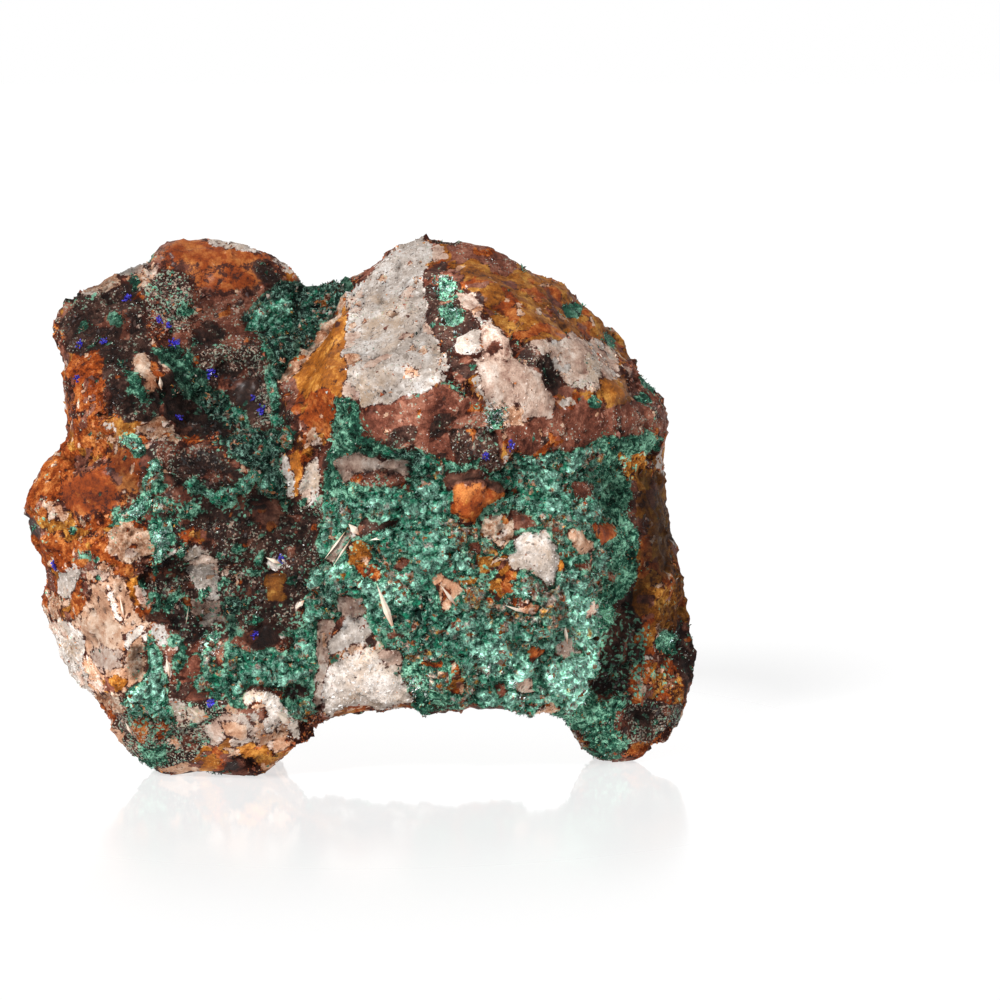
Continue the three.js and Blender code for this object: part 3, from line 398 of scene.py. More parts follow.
    patch("quartz", (22.5, 34), (24.5, 34.5), (27, 34), (28, 35), (29.5, 32.5), (30, 29), (28.5, 26),
          (25.5, 28), (23, 28.5), (22, 30), (23, 31.5), shade=0.05, lift=0.7),
    patch("ochre", (29.8, 30), (31, 30), (31, 28.2), (29.9, 28.2), shade=1.6, lift=0.5),
    patch("beige", (23.5, 22.8), (25.3, 24.3), (25.9, 22.3), (24.2, 21.9), shade=1.2),
    patch("beige", (30.8, 34.9), (32.5, 34.8), (34.3, 32.5), (34.7, 31.3), (32.9, 30.8), (31.4, 32.2),
          shade=0.3, lift=0.6),
    patch("rust", (34.5, 35), (36, 36), (40, 33), (40.5, 31), (39, 30.5), (35, 33), shade=0.3, lift=0.6),
    patch("ochre", (38.8, 45.8), (42.5, 45.9), (43.6, 44.5), (41.2, 43.6), (40.3, 41.9), (39.1, 43),
          shade=1.4, moss=0.6),
    patch("ochre", (40, 44.9), (43, 45), (43.6, 40.9), (41.2, 40.4), (39.7, 42.4), shade=1),
    patch("beige", (10.9, 27.4), (12.1, 28.2), (14, 27.1), (15.2, 25.3), (14.2, 23.8), (13.6, 22.1),
          (12.1, 22.3), (11.3, 24.4), shade=0.15, lift=0.5),
    patch("rust", (11.8, 26.8), (13.1, 25.9), (13.3, 23.6), (12.2, 23.7), shade=-0.4, lift=0.6),
    patch("maroon", (-1, 34.6), (0.1, 35.9), (3.5, 36.1), (5.5, 35.9), (4.9, 34.6), (2, 34.4),
          (-0.2, 33.4), shade=-0.05, calm=0.8),
    patch("quartz", (-2.3, 34.9), (-1, 34.9), (-0.7, 33.6), (-2, 33.3), shade=0.3, lift=0.5),
    patch("ochre", (-3, 32), (-1.5, 33), (0.5, 33), (1.5, 32), (1.5, 29.5), (2.5, 27.5), (1.5, 27),
          (-2.5, 30), shade=0, frost=0.4),
    patch("rust", (-0.7, 28.5), (2.2, 28.9), (2.5, 27.3), (0.1, 27.1), shade=-0.05),
    patch("pink", (-5.6, 29.8), (-2.5, 34.6), (-1.9, 34.2), (-4.7, 29.5), shade=-0.75),
    patch("malachite", (-4.9, 29.4), (-3.2, 30.3), (-2.2, 28.6), (-3.1, 27.1), (-4.6, 28.1), shade=1,
          sand=0),
    patch("malachite", (-6, 27.5), (-2.5, 26.5), (-1.5, 24), (-4, 21.5), (-6.5, 22.5), shade=-0.5,
          sand=0.15),
    patch("malachite", (2, 32.4), (3.7, 33.1), (6.1, 33.4), (6.8, 31.8), (5.8, 29.7), (4.3, 28.6),
          (2.8, 29.2), (2, 30.9), shade=-0.1, sand=0),
    patch("malachite", (2.5, 27.9), (5.8, 27.9), (7.3, 24.1), (5.5, 23.2), (3.4, 24.4), shade=1, sand=0),
    patch("redbrown", (5, 30.1), (7.1, 30.1), (7, 28.6), (5.2, 28.6), shade=-0.5),
    patch("malachite", (5.5, 23.5), (12, 22.5), (16.5, 18), (15, 16), (10.5, 16.5), (6.5, 18), (4.5, 21),
          shade=-0.2, sand=0.05),
    patch("redbrown", (3.5, 19.3), (6.2, 19.3), (5.6, 18.3), (4, 18.3), shade=-0.6),
    patch("malachite", (6, 15), (8, 16), (12, 15.5), (14, 16.5), (16, 13.5), (15.5, 9), (10.5, 8.5),
          (7.5, 9.5), shade=0.6, sand=0.7),
    patch("rust", (13, 15.1), (14.5, 14.8), (15.5, 12.2), (15.1, 9.6), (13.6, 10), shade=-0.1),
    patch("rust", (8.6, 14.8), (11.8, 14.8), (11.8, 13.8), (9.4, 13.8), shade=0.35),
    patch("malachite", (7.1, 12.9), (8.2, 12.2), (9.2, 10.7), (7.7, 10.2), shade=1.7, sand=0),
    patch("malachite", (21.5, 18), (25.5, 15), (27, 10.5), (24, 9), (16.5, 15), (17, 17.5), shade=1,
          sand=0.04),
    # Painted light: this mint faces away from the lamp and is lightened to make up for it.
    patch("malachite", (30, 26), (36, 24), (39.5, 21.5), (36.5, 13.5), (34.5, 12), (34.5, 8.5), (32, 7),
          (28, 12), (29, 15), (32, 18), (30.5, 21), shade=1.8, sand=0.03),
    patch("malachite", (39, 39), (41, 34.5), (42, 30), (39.5, 24), (36, 25), (33, 27), (36, 30),
          (38, 34.5), shade=0.5, sand=0.45),
    patch("pink", (33.4, 23.4), (35, 23.6), (35.3, 21.9), (34, 21.3), shade=1.4, lift=0.5),
    patch("pink", (28.9, 17.2), (31.1, 18.1), (32.6, 16.6), (31.3, 14.8), (29.2, 15.8), shade=-0.4,
          lift=0.3),
    patch("rust", (24.8, 15.8), (25.9, 17.1), (27.7, 16.9), (27.7, 15.9), (26, 14.7), shade=0, lift=0.5),
    patch("pink", (35, 16.6), (36.8, 17.1), (37, 15.1), (35.8, 13.8), shade=-0.3),
    patch("pink", (22.9, 11.4), (25.3, 11.7), (26, 10.3), (23.8, 9.8), shade=0.4),
    patch("redbrown", (20.3, 11.5), (22, 11.8), (21.7, 10), (20.5, 9.8), shade=0),
    patch("beige", (25.9, 8.5), (28.6, 8.8), (29.8, 7.5), (27.5, 7), (26, 7.2), shade=0.4),
    patch("redbrown", (32, 30), (34.3, 30.4), (34.6, 28.3), (32.8, 28.1), shade=1.3, strength=0.7),
    patch("redbrown", (36.8, 28.6), (38.8, 28.9), (38.8, 26.8), (37.1, 26.8), shade=0.1, strength=0.7),
    patch("ochre", (18.8, 26.7), (21.5, 27), (22.6, 25), (20.5, 24.2), (18.9, 25.2), shade=0, lift=0.2),
    patch("rust", (22, 24.8), (24.4, 24.4), (24.8, 22.8), (22.6, 23), shade=-0.2),
    patch("beige", (25, 23.4), (26.9, 23.1), (26.7, 21.3), (25.1, 21.5), shade=-0.1, lift=0.3),
    patch("ochre", (14.3, 28.3), (17.1, 27.7), (16.6, 26.1), (14.3, 26.5), shade=-0.25),
    patch("ochre", (17.4, 31.2), (20.6, 30.7), (20.8, 28.4), (18.4, 28.1), shade=-0.35),
    patch("redbrown", (22.3, 37.5), (24.5, 38), (26.7, 35.4), (23, 34.9), shade=-0.5),
    patch("redbrown", (30.9, 41.7), (34.5, 42), (35.2, 39.4), (32, 38.9), shade=-0.45),
    # the white foot of the boulder
    patch("pink", (-6.8, 21.4), (-4.4, 21.1), (-4.3, 16.6), (-5.9, 7.9), (-7.4, 9.2), (-6.5, 15.1),
          shade=-0.6),
    patch("pink", (-3.2, 24.1), (0.4, 24.6), (1, 22.1), (-1.7, 21.1), (-3.2, 22.1), shade=-0.65),
    patch("quartz", (-2, 16.5), (2, 17), (3.5, 15), (6, 14), (8, 8.5), (-1.5, 8), (-5, 7), (-6, 10.5),
          (-4.5, 14.5), shade=0.25, lift=0.6, calm=0.85),
    patch("quartz", (-1.5, 21.5), (0.5, 21.5), (1.5, 20), (1, 18), (-4.5, 16), (-5, 18), shade=-0.2,
          lift=0.6, calm=0.95),
    patch("beige", (-1.9, 17.2), (0.1, 17.6), (0.7, 16.6), (-1.4, 16.2), shade=-0.1),
    patch("pink", (2.3, 16.2), (5.2, 16.1), (6.1, 14.2), (3.5, 14.4), shade=-0.15),
    patch("maroon", (1, 19.3), (2.2, 18.1), (2.2, 16.6), (0.7, 17.2), shade=-0.4),
    # right flank
    # Painted shade, partly dark limonite: the right flank, which faces away from the light.
    patch("ochre", (40.5, 44), (46, 43), (47, 33), (44, 28), (43, 20), (40, 20), (41.5, 30), shade=-0.8,
          frost=-0.5, calm=0.7),
    patch("ochre", (42, 40), (45, 40), (47, 30), (46, 25), (43, 27), shade=-1.05, frost=-0.5, calm=0.7),
    patch("maroon", (36.5, 19), (40, 24), (43, 20), (42, 10), (38, 8), (35.5, 12), shade=-0.6, frost=-0.3,
          moss=0.8),
    patch("ochre", (42.5, 26.5), (48, 28), (51, 24.5), (50.5, 19.5), (44, 19.5), shade=-0.5, lift=0.4),
    patch("ochre", (44, 25.9), (46.4, 26.6), (47, 24), (44.9, 23.6), shade=0.1, lift=0.3),
    patch("malachite", (44, 18.1), (46, 19.6), (48.2, 18.1), (48.1, 15.9), (45.1, 15.9), shade=0.8,
          sand=0.25),
    patch("rust", (41.9, 22.5), (44, 22.1), (44, 15.4), (42.5, 15.8), shade=-0.2, calm=0.7),
    patch("rust", (40, 14.5), (49, 16), (49, 8), (43.5, 6.5), (40.5, 8.5), shade=-0.25),
    patch("ochre", (43.5, 14), (48, 15), (48.5, 9), (45, 7), (43, 10), shade=0.8, strength=0.5, sand=0.8,
          moss=1.1),
    patch("ochre", (44.2, 13.9), (46, 14.5), (46, 12.8), (44.5, 12.4), shade=0.7),
    patch("beige", (40.9, 12.2), (42.1, 12.8), (42.4, 10.7), (41.5, 10), shade=-0.5),
    patch("maroon", (47.5, 21), (50.9, 19.1), (50.9, 9), (48.4, 8.5), shade=-0.3, frost=-0.2),
    # right foot
    patch("malachite", (37.5, 10.5), (39.5, 9), (38.5, 5.5), (40.5, 2.5), (37.5, 1), (34.5, 2),
          (31.5, 7.5), shade=0.7, sand=0.8, frost=0.5),
    patch("maroon", (34.6, 11.7), (36.7, 12.8), (38.2, 10.7), (37.1, 8.5), (35.2, 9), shade=-0.7,
          frost=-0.5, moss=0.4),
    patch("redbrown", (37.6, 7.3), (40.1, 7.9), (39.8, 5), (37.9, 5.2), shade=0.5),
    patch("maroon", (39.5, 9), (48, 8.5), (48, 6), (45, 4.5), (43.5, 2.5), (41, 2), shade=-0.3, frost=0.7,
          moss=0.3),
    patch("maroon", (41.5, 6.8), (43.6, 7), (43.6, 5.2), (42.1, 5), shade=-0.85, frost=-0.5),
    patch("rust", (40, 2.2), (42.5, 3), (43.4, 1.6), (41.9, 0), (39.8, 1.2), shade=0),
)

# Little green spots away from the crusts: middle of each, and how wide it is.
GREEN_SPOTS = (
    (-34.3, 71.8, 1.0), (-41.9, 65.5, 1.0), (-37, 66, 1.2), (-25.9, 67.6, 1.2), (-41.6, 30.9, 0.9),
    (-40, 29.9, 0.6), (-28.6, 23.7, 0.8), (-17.9, 32.4, 0.9), (-15, 30.6, 0.9), (-27.6, 10.6, 0.4),
    (-25, 5.4, 0.7), (-23.6, 14, 0.6), (-22, 9.6, 0.6), (-10.5, 26.8, 0.8), (-8.6, 38.6, 0.7),
    (32, 68.1, 1.4), (37.1, 62.9, 1.2), (34.8, 53.8, 1.0), (42.5, 54.6, 0.9), (-27.7, 57.9, 0.8),
    (-39.5, 27.6, 0.5), (-43.6, 34.2, 0.5), (-39, 40.4, 0.5), (-37, 37.9, 0.5), (-11.4, 38.5, 0.8),
)
# Sprays of pale fibres: across, up, how far they spread, and how bright they are; the brightness also holds
# painted light, most of all for the spray under the boulder's overhang.
MINT_SPRAYS = (
    (12.5, 71.2, 1.7, 1.2), (13.5, 67, 1.6, 1.0), (20, 51.8, 1.7, 2.2), (8, 11.5, 1.2, 1.8),
    (-22.5, 17.5, 1.5, 1.8),
)
# Loose flakes that stick out: their two ends, how wide they are, and how far they stand out.
FLAKES = (
    ((1.9, 27.4), (4.4, 19.3), 1.0, 1.4), ((0.6, 33.2), (4.6, 34.5), 0.9, 1.0),
    ((-1.9, 35.0), (-1.0, 34.0), 1.1, 0.7), ((-5.6, 29.9), (-3.0, 34.2), 0.6, 0.8),
    ((-5.0, 29.4), (-2.2, 33.4), 0.4, 0.9), ((21.0, 22.8), (25.2, 21.6), 0.6, 0.8),
    ((12.2, 27.3), (14.8, 23.4), 1.2, 1.0), ((-29.3, 16.2), (-28.7, 11.8), 0.8, 0.9),
    ((-25.6, 24.0), (-26.6, 20.6), 0.3, 0.8), ((-10.4, 22.8), (-8.9, 24.0), 0.7, 0.7),
    ((-11.8, 29.3), (-11.0, 30.3), 0.7, 0.6), ((-13.9, 30.0), (-12.4, 28.9), 1.0, 0.6),
    ((-37.0, 24.5), (-35.9, 20.6), 0.7, 0.6), ((-26.2, 7.6), (-23.7, 5.8), 0.9, 0.7),
    ((-36.0, 5.6), (-34.6, 3.2), 0.5, 0.5), ((-12.4, 6.6), (-9.8, 5.2), 1.6, 0.8),
    ((31.2, 20.4), (31.8, 17.6), 0.6, 0.7), ((-30.1, 58.6), (-29.4, 55.6), 1.3, 0.8),
)
# Middles of the blue clusters: across and up.
AZURITE_SPOTS = (
    (-35.2, 70.3), (-29.9, 66.9), (-29, 66), (-28, 63.3), (-42.5, 63.1), (-38.9, 63.4), (-43.4, 57.6),
    (-22.3, 57.9), (-16.7, 54.8), (-15.4, 53.1), (-26.9, 51.9), (-46.7, 28.8), (-12.5, 30.9), (-16, 19.6),
    (-22.9, 7.9), (19.3, 46), (22.4, 47.4),
)


def linear(red, green, blue):
    """A colour given as screen values from 0 to 255, as the linear values that shaders use."""
    values = []
    for value in (red, green, blue):
        share = value / 255
        values.append(share / 12.92 if share <= 0.04045 else ((share + 0.055) / 1.055) ** 2.4)
    return tuple(values)


# ---- properties


def length(name, default, description):
    """A size in metres."""
    return FloatProperty(name=name, default=default, description=description, unit="LENGTH",
                         subtype="DISTANCE", precision=5)


def colour(name, default, description):
    """A colour in linear values."""
    return FloatVectorProperty(name=name, default=default, description=description, subtype="COLOR", size=3,
                               min=0, max=1)


# Each mineral: what it is, and its dark, middle and light tone as screen values.
TONES = {
    "quartz": ("Milky quartz", (138, 124, 113), (188, 175, 165), (238, 234, 230)),
    "pink": ("Stained translucent quartz", (132, 92, 78), (196, 166, 148), (240, 226, 214)),
    "beige": ("Feldspar", (140, 82, 50), (196, 150, 120), (240, 216, 194)),
    "rust": ("Iron stain", (66, 20, 6), (150, 66, 20), (212, 134, 70)),
    "ochre": ("Limonite", (60, 28, 8), (150, 86, 26), (216, 156, 74)),
    "maroon": ("Ironstone", (20, 12, 10), (56, 35, 29), (104, 72, 61)),
    "redbrown": ("Red ironstone", (56, 24, 16), (118, 66, 50), (172, 116, 94)),
    "malachite": ("Green bed under the crystals", (12, 38, 30), (40, 90, 70), (140, 196, 166)),
}
MINERALS = tuple(TONES)
TONE_NAMES = ("dark", "mid", "light")


class DruseRock(bpy.types.PropertyGroup):
    net: length("Net", 0.60 * MM, "Edge length of the rock's surface net")
    chip: length("Chip", 0.85 * MM, "Height of the coarse broken facets")
    grit: length("Grit", 0.40 * MM, "Height of the fine roughness")
    crack: length("Crack", 0.70 * MM, "Depth of the cracks")
    frost: colour("Frosting", linear(162, 178, 158), "Pale green dust on the dark rock")
    for mineral, (label, *tones) in TONES.items():
        for tone_name, tone in zip(TONE_NAMES, tones):
            __annotations__[f"{mineral}_{tone_name}"] = colour(
                f"{mineral.capitalize()}, {tone_name}", linear(*tone), f"{label}, {tone_name}")


class DruseMalachite(bpy.types.PropertyGroup):
    lump: length("Lump", 1.0 * MM, "Height of the crust's lumps")
    needle: length("Needle", 0.48 * MM, "Length of a crystal")
    spacing: length("Spacing", 0.62 * MM, "Distance between tufts")
    # The deep green stands partly for painted shade in the gaps, and the mint for painted light on the tips.
    deep: colour("Deep green", linear(5, 42, 34), "Crystals in the gaps")
    green: colour("Green", linear(34, 133, 99), "Most crystals")
    mint: colour("Mint", linear(180, 238, 214), "Lit tips and fibrous crystals")


class DruseSmall(bpy.types.PropertyGroup):
    azurite: length("Azurite", 1.5 * MM, "Size of an azurite cluster")
    grain: length("Quartz grain", 0.42 * MM, "Size of a quartz grain")
    crumb: length("Crumb", 0.46 * MM, "Size of a crumb of the stained rock")
    spark: length("Spark", 0.17 * MM, "Size of a glittering crystal on the dark rock")
    blue_dark: colour("Azurite, dark", linear(24, 16, 92), "Azurite in shade")
    blue_light: colour("Azurite, light", linear(66, 58, 205), "Azurite at its edges")
    bone_dark: colour("Flake, dark", linear(190, 110, 60), "Stained end of a loose flake")
    bone_light: colour("Flake, light", linear(246, 226, 206), "Fresh end of a loose flake")


class DruseStage(bpy.types.PropertyGroup):
    distance: length("Camera distance", 0.70, "From the lump to the camera")
    width: length("Picture width", 0.15, "What the picture takes in across the lump")
    aim_x: length("Aim across", 20.3 * MM, "Where the picture's middle lies, across")
    aim_up: length("Aim up", 39.5 * MM, "Where the picture's middle lies, above the floor")
    elevation: FloatProperty(name="Elevation", default=math.radians(8), subtype="ANGLE",
                             description="How far the camera looks down")
    key: FloatProperty(name="Key light", default=3.6, description="Strength of the big soft light")
    key_width: FloatProperty(name="Key width", default=math.radians(16), subtype="ANGLE",
                             description="How wide the big soft light looks from the lump")
    ambient: FloatProperty(name="Ambient", default=0.24, description="Strength of the light all round")


# ---- repeatable noise
# Sizes and amounts are in millimetres. A seed is any whole number: it only sets one noise apart from
# the others.

# Large odd numbers that scatter neighbouring cells: one for each axis, and one for the seed.
SCATTER = (73856093, 19349663, 83492791, 2654435761)
LOW_BITS = 0xFFFFFFFF

def lattice_values(cells, seed):
    """One pseudo-random number from 0 to 1 for each cell of whole-numbered places, always the same."""
    mixed = np.int64(seed * SCATTER[3])
    for axis in range(3):
        mixed = mixed ^ cells[..., axis] * SCATTER[axis]
    mixed = mixed & LOW_BITS
    mixed = (mixed ^ mixed >> 15) * 2246822519 & LOW_BITS
    mixed = (mixed ^ mixed >> 13) * 3266489917 & LOW_BITS
    return ((mixed ^ mixed >> 16) & LOW_BITS) / 2.0**32


def lattice_vectors(cells, seed):
    """One vector for each cell, with parts from -1 to 1."""
    return np.stack([lattice_values(cells, seed + part) for part in (1, 2, 3)], axis=-1) * 2 - 1


CORNERS = np.array([(x, y, z) for x in (0, 1) for y in (0, 1) for z in (0, 1)])
NEARBY = np.array([(x, y, z) for x in (-1, 0, 1) for y in (-1, 0, 1) for z in (-1, 0, 1)])


def waves(points, wavelength, seed):
    """Smooth noise from about -1 to 1."""
    places = points / wavelength
    cells = np.floor(places).astype(np.int64)
    inside = places - cells
    ease = inside * inside * inside * (inside * (inside * 6 - 15) + 10)
    total = np.zeros(len(points))
    for corner in CORNERS:
        share = np.prod(np.where(corner, ease, 1 - ease), axis=1)
        total += share * np.einsum("ij,ij->i", lattice_vectors(cells + corner, seed), inside - corner)
    return total * 1.5


def layered(points, wavelength, seed, layers=3):
    """Noise with finer and weaker layers over it."""
    total = np.zeros(len(points))
    for layer in range(layers):
        total += waves(points, wavelength / 2**layer, seed + 17 * layer) / 2**layer
    return total


def stirred(points, wavelength, amount, seed):
    """The points, each moved by smooth noise, so that what is read there gets wavy."""
    return points + amount * np.stack([waves(points, wavelength, seed + part) for part in range(3)], axis=1)


def nearest_cells(points, size, seed, spread=0.45):
    """The distance to the nearest strewn point, the offset from it, and the cell that it lies in."""
    places = points / size
    cells = np.floor(places).astype(np.int64)
    nearest = np.full(len(points), 9.0)
    offset = np.zeros_like(points)
    home = cells.copy()
    for step in NEARBY:
        cell = cells + step
        away = places - (cell + 0.5 + spread * lattice_vectors(cell, seed))
        distance = np.einsum("ij,ij->i", away, away)
        closer = distance < nearest
        nearest = np.where(closer, distance, nearest)
        offset = np.where(closer[:, None], away, offset)
        home = np.where(closer[:, None], cell, home)
    return np.sqrt(nearest), offset, home


def chips(points, size, seed):
    """Facets of broken stone: each point takes the tilted plane of its nearest cell."""
    _, offset, home = nearest_cells(points, size, seed)
    tilt = np.einsum("ij,ij->i", offset, lattice_vectors(home, seed + 40))
    return tilt + 0.6 * (lattice_values(home, seed + 80) - 0.5)


def knobs(points, size, seed):
    """Rounded knobs, 1 at their tops and 0 in the gaps between them."""
    distance, _, home = nearest_cells(points, size, seed)
    return np.clip(1 - distance * distance * 2.2, 0, 1) * (0.55 + 0.45 * lattice_values(home, seed + 9))


def ridges(points, size, seed):
    """Winding crests, 1 on a crest and 0 in the hollows between them."""
    return np.clip(1 - 2.6 * np.abs(waves(points, size, seed)), 0, 1)


def ease_between(low, high, values):
    """0 below low, 1 above high, smooth in between."""
    share = np.clip((values - low) / (high - low), 0, 1)
    return share * share * (3 - 2 * share)


# ---- reading the patches


PICTURE_MIDDLE = 20.8  # mm: the across value of the patches' outlines that lies in the picture's middle


def as_seen(points, stage):
    """Places of points (mm) on the picture plane: across and up, in mm, as the camera sees them."""
    slope = stage.elevation
    aim = np.array((stage.aim_x, 0, stage.aim_up)) / MM
    from_aim = points - aim
    up = from_aim[:, 2] * math.cos(slope) + from_aim[:, 1] * math.sin(slope)
    depth = from_aim[:, 1] * math.cos(slope) - from_aim[:, 2] * math.sin(slope)
    shrink = 1 / (1 + depth * MM / stage.distance)
    across = PICTURE_MIDDLE + from_aim[:, 0] * shrink
    return np.stack((across, aim[2] * math.cos(slope) + up * shrink), axis=1)


def outline_depth(places, outline):
    """How far each place lies inside an outline, in mm; negative outside."""
    corners = np.array(outline, dtype=float)
    nearest = np.full(len(places), np.inf)
    inside = np.zeros(len(places), dtype=bool)
    for start, end in zip(corners, np.roll(corners, -1, axis=0)):
        edge = end - start
        along = np.clip(((places - start) @ edge) / (edge @ edge), 0, 1)
        gap = places - start - along[:, None] * edge
        nearest = np.minimum(nearest, np.einsum("ij,ij->i", gap, gap))
        crosses = (start[1] > places[:, 1]) != (end[1] > places[:, 1])
        rise = end[1] - start[1] if end[1] != start[1] else 1e-9
        left = places[:, 0] < (end[0] - start[0]) * (places[:, 1] - start[1]) / rise + start[0]
        inside ^= crosses & left
    return np.where(inside, 1, -1) * np.sqrt(nearest)


# How smoothly each mineral breaks: 0 crumbly, 1 like glass.
CALMNESS = {"quartz": 0.9, "pink": 0.88, "beige": 0.45, "rust": 0.5, "ochre": 0.5, "maroon": 0.45,
            "redbrown": 0.7, "malachite": 0.1}
CALMEST = 0.9  # the most that the minerals alone give
PURE_CALM = 0.85  # a patch that is set calmer than this has little dust and few blots in it
STONE_CALM = 0.9  # of the stones that stand proud of the surface
STONE_LIFT = 0.4  # mm: a patch that is lifted by more than this is such a stone
PATCH_SOFT = 0.5  # mm over which a patch usually fades, before the shader breaks up its edge
PATCH_WANDER = 0.8  # mm that the edges wander
PATCH_REACH = 8.0  # mm round a patch's outline in which it is worked out
FRONT_EDGE = (2.0, 17.0)  # Y (mm) where the front's patches give way to the minerals of the sides


def front_share(points, normals):
    """1 on the front, 0 on the back and the underside."""
    wander = 4 * waves(points, 9, 61)
    by_depth = 1 - ease_between(*FRONT_EDGE, points[:, 1] + wander)
    by_turn = ease_between(-0.55, -0.15, -normals[:, 1] + 0.35 * normals[:, 2])
    return by_depth * by_turn


def side_minerals(points):
    """How the minerals are spread where no patch says it: the sides, the back and the underside."""
    bands = layered(stirred(points, 14, 5, 5), 15, 11)
    blots = layered(points, 9, 23)
    veins = layered(points, 11, 37)
    share = {name: np.zeros(len(points)) for name in MINERALS}
    share["rust"] = ease_between(0.05, 0.25, bands)
    share["ochre"] = ease_between(0.18, 0.3, bands * 0.6 + blots * 0.5)
    share["redbrown"] = ease_between(0.0, 0.2, -bands)
    share["maroon"] = ease_between(0.22, 0.42, -bands + 0.3 * veins)
    share["beige"] = ease_between(0.42, 0.55, veins)
    share["quartz"] = ease_between(0.46, 0.56, blots)
    share["pink"] = ease_between(0.46, 0.58, -blots + 0.3 * bands)
    share["malachite"] = ease_between(0.42, 0.6, -veins + 0.25 * blots) * 0.8
    return share


def lay(share, mineral, amount):
    """Lays a mineral over the others."""
    for name in MINERALS:
        share[name] = share[name] * (1 - amount)
    share[mineral] = np.maximum(share[mineral], amount)


# What else is found inside each mineral: the other mineral, how wide its blots are in mm, and the level
# of noise above which it shows.
COMPANIONS = {
    "quartz": (("pink", 4.5, 0.28), ("beige", 3.0, 0.50), ("maroon", 1.6, 0.85)),
    "pink": (("quartz", 3.0, 0.25), ("beige", 2.6, 0.40), ("rust", 2.0, 0.62)),
    "beige": (("pink", 2.0, 0.25), ("rust", 1.8, 0.40), ("redbrown", 1.5, 0.60)),
    "rust": (("redbrown", 3.5, 0.30), ("ochre", 4.5, 0.25), ("beige", 1.8, 0.50), ("malachite", 1.4, 0.75)),
    "ochre": (("rust", 4.0, 0.22), ("redbrown", 3.0, 0.38), ("beige", 2.2, 0.48), ("malachite", 1.4, 0.75)),
    "maroon": (("redbrown", 4.0, 0.32), ("rust", 2.6, 0.58), ("malachite", 1.8, 0.52), ("pink", 1.4, 0.72)),
    "redbrown": (("maroon", 3.5, 0.40), ("rust", 3.0, 0.45), ("beige", 1.6, 0.68), ("malachite", 1.5, 0.80)),
}


def mingle(points, share, strength):
    """Strews each mineral with blots of its companions."""
    before = {name: values.copy() for name, values in share.items()}
    for number, (mineral, company) in enumerate(COMPANIONS.items()):
        for other, size, level in company:
            field = layered(stirred(points, size, size * 0.3, 151), size, 161 + 7 * number, 2)
            moved = before[mineral] * ease_between(level, level + 0.14, field) * strength
            share[mineral] = share[mineral] - moved * (share[mineral] > 0)
            share[other] = share[other] + moved
    for name in share:
        share[name] = np.clip(share[name], 0, 1)


def read_patches(points, normals, stage):
    """The share of each mineral, and the shade, lift, front, calmness, frost, moss and sand at each point."""
    wander = np.stack([waves(points, 3.2, s) + 0.5 * waves(points, 1.4, s + 5) for s in (101, 102)], axis=1)
    places = as_seen(points, stage) + PATCH_WANDER * wander
    front = front_share(points, normals)
    share = side_minerals(points)
    shade = 0.2 * layered(points, 7, 71)
    lift = np.zeros(len(points))
    stone = np.zeros(len(points))
    extra = {
        "frost": 0.2 + 0.35 * waves(points, 6, 83),
        "moss": np.zeros(len(points)),
        "sand": np.full(len(points), 0.12),
    }
    calm_wanted = np.full(len(points), -1.0)
    for area in PATCHES:
        corners = np.array(area["outline"])
        low = corners.min(axis=0) - PATCH_REACH
        high = corners.max(axis=0) + PATCH_REACH
        near = np.flatnonzero(((places > low) & (places < high)).all(axis=1) & (front > 0))
        depth = np.full(len(points), -PATCH_REACH)
        depth[near] = outline_depth(places[near], area["outline"])
        soft = area.get("soft", PATCH_SOFT)
        amount = ease_between(-soft, soft, depth) * front * area.get("strength", 1.0)
        lay(share, area["mineral"], amount)
        shade = shade * (1 - 0.8 * amount) + area.get("shade", 0.0) * amount
        rise = area.get("lift", 0.0)
        dome = ease_between(-0.4, 1.6, depth) * front
        if rise:
            lift = lift * (1 - amount) + rise * dome
        stone = stone * (1 - amount)
        for name, values in extra.items():
            if name in area:
                extra[name] = values * (1 - amount) + area[name] * amount
        calm_wanted = np.where(amount > 0.5, area.get("calm", -1.0), calm_wanted)
        if rise > STONE_LIFT:
            stone = np.maximum(stone, amount)
            # Painted shading of a raised stone: lighter in its middle, darker at its rim.
            shade += amount * (0.35 * dome - 0.25)
    for across, up, radius in GREEN_SPOTS:
        away = np.hypot(places[:, 0] - across, places[:, 1] - up)
        lay(share, "malachite", (1 - ease_between(radius * 0.6, radius * 1.2, away)) * front)
    pure = np.maximum(stone, calm_wanted > PURE_CALM)
    mingle(points, share, 1 - 0.75 * pure)
    calm = sum(share[name] * CALMNESS[name] for name in MINERALS)
    calm = np.maximum(np.clip(calm, 0, CALMEST), STONE_CALM * stone)
    calm = np.where(calm_wanted > 0, calm_wanted, calm)
    extra["frost"] -= 0.6 * pure
    return share, shade, lift, front, calm, extra


# ---- meshes


WELD_REACH = 0.01 * MM  # corners of a CAD solid that lie closer are one


